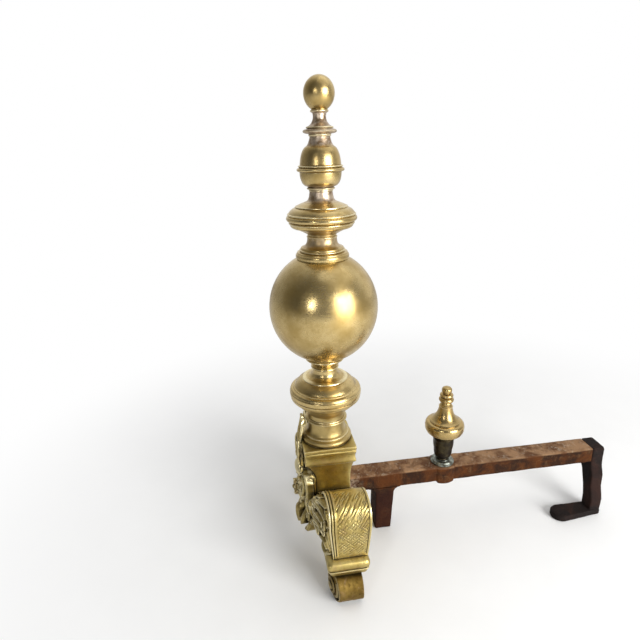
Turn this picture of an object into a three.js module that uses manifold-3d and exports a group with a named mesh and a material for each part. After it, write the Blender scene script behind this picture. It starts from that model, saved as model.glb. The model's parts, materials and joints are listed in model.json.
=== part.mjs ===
// Antique andiron: a turned brass column with a great ball on a scroll-footed brass base,
// threaded on an iron tie rod that also clamps the forged iron billet bar behind it.
// Millimetres, +Z up, front towards -Y, bar towards +Y. The column stands on X = 0.
import * as THREE from 'three';
import { mergeVertices } from 'three/addons/utils/BufferGeometryUtils.js';
import Module from 'manifold-3d';

const wasm = await Module();
wasm.setup();

// ---------------------------------------------------------------- driving dimensions
const SEAT_GAP = 0.3;          // clearance between pieces that meet on curved or cut faces
const TURNED_STEPS = 24;       // facets round a large turned piece
const SMALL_TURNED_STEPS = 16; // facets round a small turned piece
const CURVE_STEPS = 4;         // points along one cove, bead or swelling

const BAR_UNDERSIDE_HEIGHT = 68.6; // height of the billet bar's underside over the floor
const BAR_HEIGHT = 22.9;
const BAR_WIDTH = 29.3;
const BAR_FRONT_REACH = 16;        // how far the bar's tongue runs in front of the column axis
const BAR_REAR_REACH = 392;        // how far the bar runs behind the column axis
const LOG_WEAR = 0.5;              // how far the logs have worn the bar down behind its stop

const ROD_RADIUS = 5;
const ROD_CLEARANCE = 0.5;
const ROD_FINIAL_DEPTH = 17;       // how far the rod screws into the top finial
const ROD_END_BELOW_NUT = 4;

const PLINTH = {
  halfWidth: 34,
  bottomHeight: 131,
  bandHeight: 8,        // plain band under the top face
  coveDepth: 2.2,       // how far the ogee under the band draws in
  lowerHalfWidth: 33.2,
  thickness: 23.5,
  wall: 5,
};

const BLOCK = {
  bottomHeight: 58,
  topHalfWidth: 30,
  waistHalfWidth: 26,
  topFront: 25,
  waistFront: 19,
  back: 27,
  coveHeight: 24,       // height of the hollow moulding under the plinth
  nutRecessRadius: 17,
};

// Turned brass pieces, from the plinth upwards. Radii and heights are of each piece alone.
const FOOT_RING = {
  torusRadius: 32.7,
  torusHeight: 8,
  filletRadius: 29,
  filletHeight: 2.2,
  drumRadius: 24.3,
  drumHeight: 18.3,
  beadRadius: 27,
  beadHeight: 4,
};
const VASE = {
  neckRadius: 23.4,
  neckHeight: 7,
  flareRadius: 35.6,
  flareHeight: 19,      // heights from here on are counted from the vase's foot
  underRadius: 42,
  underHeight: 26.4,
  bellyRadius: 45.5,
  bellyHeight: 35.5,
  shoulderRadius: 40.6,
  shoulderHeight: 42.6,
  beadStep: 1.6,
  topRadius: 29.5,
  height: 54,
  wall: 5,
};
const LOWER_SEAT = {
  footRadius: 28.4,
  footHeight: 1.2,
  neckRadius: 15.2,
  neckHeight: 13.2,
  beadRadius: 17.2,
  beadHeight: 2.6,
  coneHeight: 9,
  collarRadius: 24.2,
  collarHeight: 3.4,
  seatRadius: 22,
};
const BALL = {
  radius: 65.2,
  halfHeight: 67.9,     // the ball is a little taller than it is wide
  wall: 2.6,
  seatRise: 25.7,       // ball's lowest point over the top of the vase
  outerSteps: 18,
  innerSteps: 8,
};
const UPPER_SEAT = {
  skirtRadius: 30.8,
  skirtHeight: 7.4,
  stepRadius: 26.8,
  stepHeight: 6.2,
  neckBottomRadius: 22.4,
  neckTopRadius: 17,
  neckHeight: 10.5,
  beadRadius: 17.2,
  beadHeight: 2.6,
};
const DISC = {
  underRadius: 16.6,
  throatRadius: 24.6,
  throatHeight: 6,
  bowlRadius: 35.9,
  bowlHeight: 12,
  rimRadius: 40.4,
  rimHeight: 20,
  rimBand: 5.6,
  grooveDepth: 1.1,
  topRadius: 30,
  topHeight: 31.4,
  topFullness: 0.3,
  flareRadius: 18,
  flareHeight: 37.4,
  neckRadius: 12.9,
  height: 50.3,
};
const PEAR = {
  beadRadius: 15.6,
  beadHeight: 3.4,
  bowlRadius: 23.4,
  bowlHeight: 15.6,
  bowlFullness: 0.8,
  rimRadius: 26.5,
  rimHeight: 5,
  filletRadius: 24.7,
  filletHeight: 2.2,
  bodyRadius: 23,
  shoulderRadius: 15.8,
  shoulderHeight: 19.3,
  bodyFullness: 0.6,
  stepRadius: 14.2,
  neckRadius: 11.2,
  neckHeight: 9.9,
  lipRadius: 12.2,
  lipHeight: 2,
};
const FINIAL = {
  discRadius: 18.5,
  discHeight: 6.2,
  filletRadius: 14.8,
  filletHeight: 1.8,
  flareRadius: 13,
  neckRadius: 7.1,
  neckHeight: 14.1,
  collarRadius: 9.9,
  collarHeight: 2.9,
  ballRadius: 16.7,
  ballHalfHeight: 18,
  ballSeatRadius: 8.6,  // radius at which the ball meets its collar
  rodSocketWall: 1.4,
};

// Base castings, drawn from the front: X outwards, Z up.
const LEG = {
  front: 18,            // reach of the band in front of the column axis at the shoulder
  back: 32,             // reach behind the axis at the shoulder
  ankleFront: 13.4,
  ankleBack: 28.8,
  ankleHeight: 59.5,
  crestHeight: 132,
  crestX: 98,
  outerX: 120,
  outerDrop: 26,        // widest place of the shoulder, below its crest
  ankleOuterX: 115.5,
  ankleInnerX: 95,
  creaseDrop: 46,       // crease between limb and block, below the crest
  archHeight: 64,
  rim: 9,               // set-back of the raised leafwork from the band's edge
  reliefDepth: 10,
  reliefBevel: 3.6,
  leafInset: 2,         // raised leafwork's lower edge, above the block's underside
  pocketX: 76,
  pocketHalfWidth: 30,
  pocketTopWall: 20,    // casting left over the pocket, below the crest
  pocketLowWall: 8,     // casting left under the pocket, above the arch
  pocketFloor: 6,       // thickness of the front wall left in front of the pocket
};
const ANKLE = {
  height: 23,
  front: 24,
  back: 29.6,
  outerX: 122,
  innerX: 90,
  lip: 3.4,
};
const FOOT = {
  rollRadius: 18.6,
  rollX: 114,
  front: 20,
  back: 20.5,
  neckReach: 16.5,      // inner side of the block over the roll, from the roll's centre
  contactCut: 0.3,      // depth of the flat worn on the roll where it stands
  eyeRadius: 5,
  eyeHeight: 2.6,
};
const CARTOUCHE = {
  plateDepth: 10,
  topBelowPlinth: 13,   // top of the casting, below the plinth's underside
  height: 100,
  topHalfWidth: 19,
  shoulderHalfWidth: 31,
  shoulderDrop: 22,     // drops are measured down from the casting's top
  waistHalfWidth: 24,
  waistDrop: 56,
  lobeHalfWidth: 30,
  lobeDrop: 72,
  bossDrop: 38,
  bossHalfWidth: 19,
  bossHalfHeight: 22,
  bossReach: 50,        // front of the boss, before the column axis
  rollRadius: 6,
  rollHalfLength: 16,
  rollReach: 38,
  buttonRadius: 6.4,
  buttonX: 24,
  buttonDrop: 71,
  buttonReach: 33,
  huskHalfWidth: 14,
  huskHalfHeight: 18,
  huskDrop: 83,
  huskReach: 45,
};
const CREST = {
  seam: 1,              // joint between cartouche and crest
  riseIntoVase: 8,      // how far the crest's lip stands up in front of the vase's foot
  halfWidth: 22,
  waistHalfWidth: 15,
  front: 39.4,
  topFront: 33.2,
  thickness: 3.4,
  flutes: 7,
  fluteRise: 2.4,
  bowRadius: 110,       // bow of the front face, seen from above
};

// Iron behind the base.
const STUB = {
  front: 65.5,          // front face behind the column axis
  topDepth: 26,
  bottomDepth: 22.5,
  filletRadius: 7,
};
const REAR_LEG = {
  depth: 19,
  bendHeight: 66,
  kneeHeight: 38,
  kneeShare: 0.55,      // how much of the way to the heel the leg has gone at the knee
  heelX: 35,
  heelWidth: 19,
  heelY: 386,           // middle of the leg's lower end behind the column axis
  heelDepth: 17,
};
const REAR_FOOT = {
  toeX: 37.6,
  toeY: 336,            // centre of the rounded toe behind the column axis
  toeRadius: 13,
  thickness: 9,
};
const LOG_STOP_Y = 165.6;
const LOG_SEAT_MARGIN = 3;  // from the log stop's widest place to the worn seat for the logs
const LOG_STOP_PIN = {
  radius: 4,
  clearance: 0.3,
  headRadius: 6.5,
  headHeight: 3,
  depthInFinial: 20,
};
const BOSS = {
  halfWidth: 17.6,
  halfDepth: 12.2,
  drop: 3.6,            // how far the swelling hangs below the bar
};
const FLANGE = {
  radius: 16,
  topRadius: 13.6,
  height: 6,
};
const STEM = {
  footRadius: 7.6,
  waistHeight: 7,
  barrelRadius: 14.2,
  barrelHeight: 25,
  topRadius: 12.8,
  height: 41,
};
const LOG_FINIAL = {
  underRadius: 15.5,
  torusRadius: 25.8,
  torusHeight: 10.5,
  torusTopHeight: 19,
  stepRadius: 20,
  bellFootRadius: 15.7,
  bellFootHeight: 22,
  bellTopRadius: 9.7,
  bellTopHeight: 38.6,
  neckRadius: 6.3,
  neckHeight: 43.6,
  knopRadius: 9.8,
  waistRadius: 5.6,
  waistHeight: 60,
  buttonRadius: 7.1,
  height: 70.5,
};
const NUT = { acrossCorners: 22, height: 9, sides: 6 };
const WASHER = { radius: 14, height: 2.5 };

// ---------------------------------------------------------------- materials
const polishedBrass = new THREE.MeshStandardMaterial({
  color: 0xb08d45, roughness: 0.3, metalness: 1, name: 'column_brass',
});
const castBrass = new THREE.MeshStandardMaterial({
  color: 0xa38448, roughness: 0.42, metalness: 1, name: 'base_brass',
});
const darkBrass = new THREE.MeshStandardMaterial({
  color: 0x7c6538, roughness: 0.5, metalness: 1, name: 'foot_brass',
});
const forgedIron = new THREE.MeshStandardMaterial({
  color: 0x5a3a2a, roughness: 0.75, metalness: 0.6, name: 'forged_iron',
});
const blackIron = new THREE.MeshStandardMaterial({
  color: 0x2a211d, roughness: 0.7, metalness: 0.6, name: 'black_iron',
});
const greyMetal = new THREE.MeshStandardMaterial({
  color: 0x6f736c, roughness: 0.55, metalness: 0.8, name: 'flange_metal',
});

// ---------------------------------------------------------------- solid helpers
const andiron = new THREE.Group();

// One closed body: shared vertices merged, empty triangles dropped, faces turned outwards.
function closedGeometry(source) {
  const bare = source.clone();
  bare.deleteAttribute('normal');
  bare.deleteAttribute('uv');
  const merged = mergeVertices(bare, 1e-4);
  const position = merged.getAttribute('position');
  const kept = [];
  let volume = 0;
  const [a, b, c] = [new THREE.Vector3(), new THREE.Vector3(), new THREE.Vector3()];
  for (let i = 0; i < merged.index.count; i += 3) {
    const corners = [0, 1, 2].map((k) => merged.index.getX(i + k));
    if (new Set(corners).size < corners.length) continue;
    kept.push(...corners);
    a.fromBufferAttribute(position, corners[0]);
    b.fromBufferAttribute(position, corners[1]);
    c.fromBufferAttribute(position, corners[2]);
    volume += a.dot(b.cross(c));
  }
  if (volume < 0) {
    for (let i = 0; i < kept.length; i += 3) [kept[i], kept[i + 1]] = [kept[i + 1], kept[i]];
  }
  merged.setIndex(kept);
  return merged;
}

function toManifold(geometry) {
  const closed = closedGeometry(geometry);
  const mesh = new wasm.Mesh({
    numProp: 3,
    vertProperties: new Float32Array(closed.getAttribute('position').array),
    triVerts: new Uint32Array(closed.index.array),
  });
  return new wasm.Manifold(mesh);
}

function fromManifold(solid) {
  const mesh = solid.getMesh();
  const geometry = new THREE.BufferGeometry();
  const positions = new THREE.BufferAttribute(new Float32Array(mesh.vertProperties), 3);
  geometry.setAttribute('position', positions);
  geometry.setIndex([...mesh.triVerts]);
  return geometry;
}

function joined(first, ...others) {
  return fromManifold(others.reduce((sum, next) => sum.add(toManifold(next)), toManifold(first)));
}

function cut(first, ...tools) {
  const start = toManifold(first);
  return fromManifold(tools.reduce((rest, tool) => rest.subtract(toManifold(tool)), start));
}

function common(first, second) {
  return fromManifold(toManifold(first).intersect(toManifold(second)));
}

function addPiece(name, geometry, material) {
  const shaded = closedGeometry(geometry);
  shaded.computeVertexNormals();
  const mesh = new THREE.Mesh(shaded, material);
  mesh.name = name;
  andiron.add(mesh);
  return mesh;
}

function at(radius, height) {
  return [new THREE.Vector2(radius, height)];
}

// A quarter-round stretch between two profile points; it leaves the first point along Z
// when risesFirst is true, and along the radius otherwise. Fullness 0 is a straight cone.
function sweep(r0, z0, r1, z1, risesFirst, steps = CURVE_STEPS, fullness = 1) {
  const start = new THREE.Vector2(r0, z0);
  const end = new THREE.Vector2(r1, z1);
  const corner = risesFirst ? new THREE.Vector2(r0, z1) : new THREE.Vector2(r1, z0);
  const control = start.clone().lerp(end, 0.5).lerp(corner, fullness);
  return new THREE.QuadraticBezierCurve(start, control, end).getPoints(steps);
}

// A half-round bead that stands out from its neck radius to its full radius.
function bead(neckRadius, radius, z0, z1, steps = CURVE_STEPS) {
  const points = [];
  for (let i = 0; i <= steps; i += 1) {
    const angle = (Math.PI * i) / steps;
    const height = z0 + ((z1 - z0) * (1 - Math.cos(angle))) / 2;
    points.push(new THREE.Vector2(neckRadius + (radius - neckRadius) * Math.sin(angle), height));
  }
  return points;
}

function withoutDoubles(points) {
  const apart = 1e-3;
  return points.filter((p, i) => i === 0 || p.distanceTo(points[i - 1]) > apart);
}

// Turns an open outline, listed upwards, about Z. A bore leaves a hole right through it.
function turned(outline, boreRadius, steps = TURNED_STEPS) {
  const points = withoutDoubles(outline);
  const inner = (z) => new THREE.Vector2(boreRadius, z);
  const ring = [inner(points[0].y), ...points, inner(points[points.length - 1].y)];
  if (boreRadius > 0) ring.push(ring[0].clone());
  const geometry = new THREE.LatheGeometry(withoutDoubles(ring), steps);
  geometry.rotateX(Math.PI / 2);
  return geometry;
}

// Rectangular blocks stacked on each other: each level is { z, x: [low, high], y: [low, high] }.
function stacked(levels) {
  const positions = [];
  const index = [];
  const corners = 4;
  for (const { z, x, y } of levels) {
    positions.push(x[0], y[0], z, x[1], y[0], z, x[1], y[1], z, x[0], y[1], z);
  }
  for (let level = 0; level < levels.length - 1; level += 1) {
    for (let side = 0; side < corners; side += 1) {
      const low = level * corners + side;
      const lowNext = level * corners + ((side + 1) % corners);
      index.push(low, lowNext, lowNext + corners, low, lowNext + corners, low + corners);
    }
  }
  const top = (levels.length - 1) * corners;
  index.push(0, 2, 1, 0, 3, 2);
  index.push(top, top + 1, top + 2, top, top + 2, top + 3);
  const geometry = new THREE.BufferGeometry();
  geometry.setAttribute('position', new THREE.Float32BufferAttribute(positions, 3));
  geometry.setIndex(index);
  return geometry;
}

// Extrudes an outline drawn in X and Z from one Y to another.
function frontExtrusion(shape, frontY, backY, bevel = 0, curveSegments = CURVE_STEPS) {
  const geometry = new THREE.ExtrudeGeometry(shape, {
    depth: backY - frontY - bevel,
    bevelEnabled: bevel > 0,
    bevelThickness: bevel,
    bevelSize: bevel,
    bevelOffset: -bevel,
    bevelSegments: 2,
    steps: 1,
    curveSegments,
  });
  geometry.rotateX(Math.PI / 2);
  geometry.translate(0, backY, 0);
  return geometry;
}

function mirroredX(geometry) {
  return geometry.clone().scale(-1, 1, 1);
}

function lyingCylinder(radius, length, steps = SMALL_TURNED_STEPS) {
  return new THREE.CylinderGeometry(radius, radius, length, steps);
}

function uprightCylinder(radius, z0, z1, steps = SMALL_TURNED_STEPS) {
  const geometry = new THREE.CylinderGeometry(radius, radius, z1 - z0, steps);
  geometry.rotateX(Math.PI / 2);
  geometry.translate(0, 0, (z0 + z1) / 2);
  return geometry;
}

function ellipsoid(halfX, halfY, halfZ, x, y, z, across = 14, up = 10) {
  const geometry = new THREE.SphereGeometry(1, across, up);
  geometry.scale(halfX, halfY, halfZ);
  geometry.translate(x, y, z);
  return geometry;
}

function box(x, y, z) {
  return stacked([{ z: z[0], x, y }, { z: z[1], x, y }]);
}

// ---------------------------------------------------------------- heights along the rod
const barTop = BAR_UNDERSIDE_HEIGHT + BAR_HEIGHT;
const wornBarTop = barTop - LOG_WEAR;
const logSeatFront = LOG_STOP_Y + LOG_FINIAL.torusRadius + LOG_SEAT_MARGIN;
const blockTop = PLINTH.bottomHeight;
const plinthTop = PLINTH.bottomHeight + PLINTH.thickness;
const boreRadius = ROD_RADIUS + ROD_CLEARANCE;
const footRingHeight = FOOT_RING.torusHeight + FOOT_RING.filletHeight
  + FOOT_RING.drumHeight + FOOT_RING.beadHeight;
const vaseBottom = plinthTop + footRingHeight;
const vaseTop = vaseBottom + VASE.height;
const cartoucheTop = blockTop - CARTOUCHE.topBelowPlinth;
const crestBottom = cartoucheTop + CREST.seam;
const crestTop = vaseBottom + CREST.riseIntoVase;
const ballCentre = vaseTop + BALL.seatRise + BALL.halfHeight;
const ballRise = (radius) => (BALL.halfHeight + SEAT_GAP)
  * Math.sqrt(1 - (radius / (BALL.radius + SEAT_GAP)) ** 2);
const upperSeatBottom = ballCentre + ballRise(UPPER_SEAT.skirtRadius);
const upperSeatTop = upperSeatBottom + UPPER_SEAT.skirtHeight + UPPER_SEAT.stepHeight
  + UPPER_SEAT.neckHeight + UPPER_SEAT.beadHeight;
const discTop = upperSeatTop + DISC.height;
const pearTop = discTop + PEAR.beadHeight + PEAR.bowlHeight + PEAR.rimHeight
  + PEAR.filletHeight + PEAR.shoulderHeight + PEAR.neckHeight + PEAR.lipHeight;
const rodTop = pearTop + ROD_FINIAL_DEPTH;
const washerBottom = BAR_UNDERSIDE_HEIGHT - WASHER.height;
const nutBottom = washerBottom - NUT.height;
const rodBottom = nutBottom - ROD_END_BELOW_NUT;

// ---------------------------------------------------------------- turned brass column
function footRing() {
  const torusTop = FOOT_RING.torusHeight;
  const filletTop = torusTop + FOOT_RING.filletHeight;
  const drumTop = filletTop + FOOT_RING.drumHeight;
  const drumWaist = filletTop + FOOT_RING.drumHeight / 2;
  const torusNeck = FOOT_RING.torusRadius - FOOT_RING.torusHeight / 2;
  return turned([
    ...bead(torusNeck, FOOT_RING.torusRadius, 0, torusTop),
    ...at(FOOT_RING.filletRadius, torusTop),
    ...at(FOOT_RING.filletRadius, filletTop),
    ...sweep(FOOT_RING.filletRadius - SEAT_GAP, filletTop, FOOT_RING.drumRadius, drumWaist, false),
    ...at(FOOT_RING.drumRadius, drumTop),
    ...bead(FOOT_RING.drumRadius, FOOT_RING.beadRadius, drumTop, drumTop + FOOT_RING.beadHeight),
  ], boreRadius);
}

function vase() {
  const underTop = VASE.underHeight;
  const shoulderTop = VASE.shoulderHeight + VASE.beadStep;
  const outline = [
    ...at(VASE.neckRadius, 0),
    ...at(VASE.neckRadius, VASE.neckHeight),
    ...at(VASE.flareRadius, VASE.flareHeight),
    ...sweep(VASE.underRadius, underTop, VASE.bellyRadius, VASE.bellyHeight, false),
    ...sweep(VASE.bellyRadius, VASE.bellyHeight, VASE.shoulderRadius, VASE.shoulderHeight, true),
    ...at(VASE.shoulderRadius, shoulderTop),
    ...at(VASE.shoulderRadius - VASE.beadStep, shoulderTop),
    ...at(VASE.topRadius, VASE.height - VASE.beadStep / 2),
    ...at(VASE.topRadius - VASE.beadStep / 2, VASE.height),
  ];
  const hollow = turned([
    ...at(VASE.neckRadius - VASE.wall, -SEAT_GAP),
    ...at(VASE.neckRadius - VASE.wall, VASE.neckHeight),
    ...at(VASE.flareRadius - VASE.wall, VASE.flareHeight + VASE.wall / 2),
    ...at(VASE.underRadius - VASE.wall, underTop + VASE.wall / 2),
    ...at(VASE.bellyRadius - VASE.wall, VASE.bellyHeight),
    ...at(VASE.shoulderRadius - VASE.wall, VASE.shoulderHeight),
    ...at(boreRadius, VASE.height - VASE.wall),
  ], 0, TURNED_STEPS);
  return cut(turned(outline, boreRadius), hollow);
}

// Points on the ball's surface, a seat gap away, between two radii.
function ballSeat(r0, r1, side) {
  const steps = 4;
  const points = [];
  for (let i = 0; i <= steps; i += 1) {
    const radius = r0 + ((r1 - r0) * i) / steps;
    points.push(new THREE.Vector2(radius, ballCentre + side * ballRise(radius)));
  }
  return points;
}

function lowerSeat() {
  const footTop = vaseTop + LOWER_SEAT.footHeight;
  const neckTop = footTop + LOWER_SEAT.neckHeight;
  const beadTop = neckTop + LOWER_SEAT.beadHeight;
  const coneTop = beadTop + LOWER_SEAT.coneHeight;
  const collarTop = coneTop + LOWER_SEAT.collarHeight;
  const collarNeck = LOWER_SEAT.collarRadius - LOWER_SEAT.collarHeight / 2;
  return turned([
    ...at(LOWER_SEAT.footRadius, vaseTop),
    ...at(LOWER_SEAT.footRadius, footTop),
    ...sweep(LOWER_SEAT.footRadius - SEAT_GAP, footTop, LOWER_SEAT.neckRadius, neckTop, false),
    ...bead(LOWER_SEAT.neckRadius, LOWER_SEAT.beadRadius, neckTop, beadTop),
    ...sweep(LOWER_SEAT.neckRadius, beadTop, collarNeck, coneTop, true),
    ...bead(collarNeck, LOWER_SEAT.collarRadius, coneTop, collarTop),
    ...ballSeat(LOWER_SEAT.seatRadius, boreRadius, -1),
  ], boreRadius);
}

function greatBall() {
  const arc = (inset, steps, flip) => {
    const radius = BALL.radius - inset;
    const mouth = Math.asin(boreRadius / radius);
    const points = [];
    for (let i = 0; i <= steps; i += 1) {
      const angle = mouth + ((Math.PI - 2 * mouth) * i) / steps;
      const height = ballCentre - flip * (BALL.halfHeight - inset) * Math.cos(angle);
      points.push(new THREE.Vector2(radius * Math.sin(angle), height));
    }
    return points;
  };
  const outer = arc(0, BALL.outerSteps, 1);
  const inner = arc(BALL.wall, BALL.innerSteps, -1);
  const ring = [...outer, ...inner, outer[0].clone()];
  const geometry = new THREE.LatheGeometry(withoutDoubles(ring), TURNED_STEPS);
  return geometry.rotateX(Math.PI / 2);
}

function upperSeat() {
  const skirtTop = upperSeatBottom + UPPER_SEAT.skirtHeight;
  const stepTop = skirtTop + UPPER_SEAT.stepHeight;
  const neckTop = stepTop + UPPER_SEAT.neckHeight;
  const skirtNeck = UPPER_SEAT.skirtRadius - UPPER_SEAT.skirtHeight / 3;
  const seat = ballSeat(boreRadius, UPPER_SEAT.skirtRadius, 1);
  const outline = [
    ...seat,
    ...sweep(UPPER_SEAT.skirtRadius, upperSeatBottom, skirtNeck, skirtTop, true),
    ...sweep(UPPER_SEAT.stepRadius, skirtTop, UPPER_SEAT.neckBottomRadius, stepTop, true),
    ...sweep(UPPER_SEAT.neckBottomRadius, stepTop, UPPER_SEAT.neckTopRadius, neckTop, false),
    ...bead(UPPER_SEAT.beadRadius - 1, UPPER_SEAT.beadRadius, neckTop, upperSeatTop),
  ];
  return turned(outline, boreRadius);
}

function discKnop() {
  const rimBottom = DISC.rimHeight - DISC.rimBand / 2;
  const rimTop = DISC.rimHeight + DISC.rimBand / 2;
  return turned([
    ...at(DISC.underRadius, 0),
    ...at(DISC.throatRadius, DISC.throatHeight),
    ...sweep(DISC.throatRadius, DISC.throatHeight, DISC.bowlRadius, DISC.bowlHeight, false, 3),
    ...sweep(DISC.bowlRadius, DISC.bowlHeight, DISC.rimRadius - DISC.grooveDepth, rimBottom, false),
    ...bead(DISC.rimRadius - DISC.grooveDepth, DISC.rimRadius, rimBottom, rimTop),
    ...sweep(DISC.rimRadius - DISC.grooveDepth, rimTop, DISC.topRadius, DISC.topHeight, true,
      CURVE_STEPS, DISC.topFullness),
    ...at(DISC.topRadius - DISC.grooveDepth, DISC.topHeight),
    ...sweep(DISC.flareRadius, DISC.flareHeight, DISC.neckRadius, DISC.height, false),
  ], boreRadius);
}

function pearKnop() {
  const beadTop = PEAR.beadHeight;
  const bowlTop = beadTop + PEAR.bowlHeight;
  const rimTop = bowlTop + PEAR.rimHeight;
  const filletTop = rimTop + PEAR.filletHeight;
  const shoulderTop = filletTop + PEAR.shoulderHeight;
  const neckTop = shoulderTop + PEAR.neckHeight;
  const beadNeck = PEAR.beadRadius - PEAR.beadHeight / 2;
  return turned([
    ...bead(beadNeck, PEAR.beadRadius, 0, beadTop),
    ...sweep(beadNeck, beadTop, PEAR.bowlRadius, bowlTop, false, CURVE_STEPS, PEAR.bowlFullness),
    ...bead(PEAR.bowlRadius, PEAR.rimRadius, bowlTop, rimTop),
    ...at(PEAR.filletRadius, rimTop),
    ...at(PEAR.filletRadius, filletTop),
    ...sweep(PEAR.bodyRadius, filletTop, PEAR.shoulderRadius, shoulderTop, true, CURVE_STEPS,
      PEAR.bodyFullness),
    ...sweep(PEAR.stepRadius, shoulderTop, PEAR.neckRadius, neckTop, false),
    ...at(PEAR.lipRadius, neckTop + PEAR.lipHeight),
  ], boreRadius);
}

function topFinial() {
  const filletBottom = pearTop + FINIAL.discHeight;
  const filletTop = filletBottom + FINIAL.filletHeight;
  const neckTop = filletTop + FINIAL.neckHeight;
  const collarTop = neckTop + FINIAL.collarHeight;
  const startAngle = Math.asin(FINIAL.ballSeatRadius / FINIAL.ballRadius);
  const ballMiddle = collarTop + FINIAL.ballHalfHeight * Math.cos(startAngle);
  const discNeck = FINIAL.discRadius - FINIAL.discHeight / 2;
  const flareTop = filletTop + FINIAL.neckHeight / 2;
  const ball = [];
  const steps = 10;
  for (let i = 0; i <= steps; i += 1) {
    const angle = startAngle + ((Math.PI - startAngle) * i) / steps;
    const radius = i === steps ? 0 : FINIAL.ballRadius * Math.sin(angle);
    ball.push(new THREE.Vector2(radius, ballMiddle - FINIAL.ballHalfHeight * Math.cos(angle)));
  }
  const body = turned([
    ...bead(discNeck, FINIAL.discRadius, pearTop, filletBottom),
    ...at(FINIAL.filletRadius, filletBottom),
    ...at(FINIAL.filletRadius, filletTop),
    ...sweep(FINIAL.flareRadius, filletTop, FINIAL.neckRadius, flareTop, false),
    ...at(FINIAL.neckRadius, neckTop),
    ...bead(FINIAL.neckRadius, FINIAL.collarRadius, neckTop, collarTop),
    ...ball,
  ], 0);
  const socket = uprightCylinder(boreRadius, pearTop - SEAT_GAP, rodTop + SEAT_GAP);
  return cut(body, socket);
}

function lifted(geometry, height) {
  return geometry.translate(0, 0, height);
}

addPiece('top_finial', topFinial(), polishedBrass);
addPiece('pear_knop', lifted(pearKnop(), discTop), polishedBrass);
addPiece('disc_knop', lifted(discKnop(), upperSeatTop), polishedBrass);
addPiece('upper_ball_seat', upperSeat(), polishedBrass);
addPiece('great_ball', greatBall(), polishedBrass);
addPiece('lower_ball_seat', lowerSeat(), polishedBrass);
addPiece('vase_knop', lifted(vase(), vaseBottom), polishedBrass);
addPiece('column_foot_ring', lifted(footRing(), plinthTop), polishedBrass);

// ---------------------------------------------------------------- iron tie rod
function washerRing() {
  const washer = uprightCylinder(WASHER.radius, washerBottom, BAR_UNDERSIDE_HEIGHT);
  const hole = uprightCylinder(boreRadius, rodBottom, barTop);
  return cut(washer, hole);
}

function rodNut() {
  const nut = uprightCylinder(NUT.acrossCorners / 2, nutBottom, washerBottom, NUT.sides);
  const thread = uprightCylinder(ROD_RADIUS + SEAT_GAP, rodBottom, barTop);
  return cut(nut, thread);
}

addPiece('tie_rod', uprightCylinder(ROD_RADIUS, rodBottom, rodTop), blackIron);
addPiece('tie_rod_washer', washerRing(), blackIron);
addPiece('tie_rod_nut', rodNut(), blackIron);

// ---------------------------------------------------------------- plinth and base block
function squareLevel(z, half) {
  return { z, x: [-half, half], y: [-half, half] };
}

function plinth() {
  const { halfWidth, bottomHeight, bandHeight, coveDepth, lowerHalfWidth, wall } = PLINTH;
  const bandBottom = plinthTop - bandHeight;
  const coveMiddle = (bandBottom + bottomHeight) / 2;
  const outer = stacked([
    squareLevel(bottomHeight, lowerHalfWidth - coveDepth),
    squareLevel(bottomHeight + coveDepth, lowerHalfWidth),
    squareLevel(coveMiddle, lowerHalfWidth - coveDepth / 2),
    squareLevel(bandBottom - coveDepth, halfWidth - coveDepth),
    squareLevel(bandBottom - coveDepth / 2, halfWidth),
    squareLevel(plinthTop, halfWidth),
  ]);
  const inside = BLOCK.waistFront - wall;
  const hollow = box([-inside, inside], [-inside, inside],
    [bottomHeight - SEAT_GAP, plinthTop - wall]);
  const bore = uprightCylinder(boreRadius, bottomHeight, plinthTop + SEAT_GAP);
  return cut(outer, hollow, bore);
}

function baseBlock() {
  const { bottomHeight, topHalfWidth, waistHalfWidth, topFront, waistFront, back } = BLOCK;
  const coveSteps = 4;
  const levels = [{
    z: bottomHeight, x: [-waistHalfWidth, waistHalfWidth], y: [-waistFront, back],
  }];
  for (let i = 0; i <= coveSteps; i += 1) {
    const share = i / coveSteps;
    const flare = share ** 3;
    const half = waistHalfWidth + (topHalfWidth - waistHalfWidth) * flare;
    const front = waistFront + (topFront - waistFront) * flare;
    const z = blockTop - BLOCK.coveHeight * (1 - share);
    levels.push({ z, x: [-half, half], y: [-front, back] });
  }
  const slotHalf = BAR_WIDTH / 2 + SEAT_GAP;
  const slot = box([-slotHalf, slotHalf], [-BAR_FRONT_REACH - SEAT_GAP, back + SEAT_GAP],
    [BAR_UNDERSIDE_HEIGHT - SEAT_GAP, barTop + SEAT_GAP]);
  const bore = uprightCylinder(boreRadius, barTop, blockTop + SEAT_GAP);
  const nutRecess = uprightCylinder(BLOCK.nutRecessRadius, bottomHeight - SEAT_GAP, barTop - SEAT_GAP);
  return cut(stacked(levels), slot, bore, nutRecess);
}

addPiece('plinth', plinth(), castBrass);
addPiece('base_block', baseBlock(), castBrass);

// ---------------------------------------------------------------- scroll legs
const legInnerX = BLOCK.waistHalfWidth + SEAT_GAP;
const legOuterHeight = LEG.crestHeight - LEG.outerDrop;
const legCreaseHeight = LEG.crestHeight - LEG.creaseDrop;
const pocketTop = LEG.crestHeight - LEG.pocketTopWall;
const pocketBottom = LEG.archHeight + LEG.pocketLowWall;
const pocketHalfHeight = (pocketTop - pocketBottom) / 2;

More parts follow.
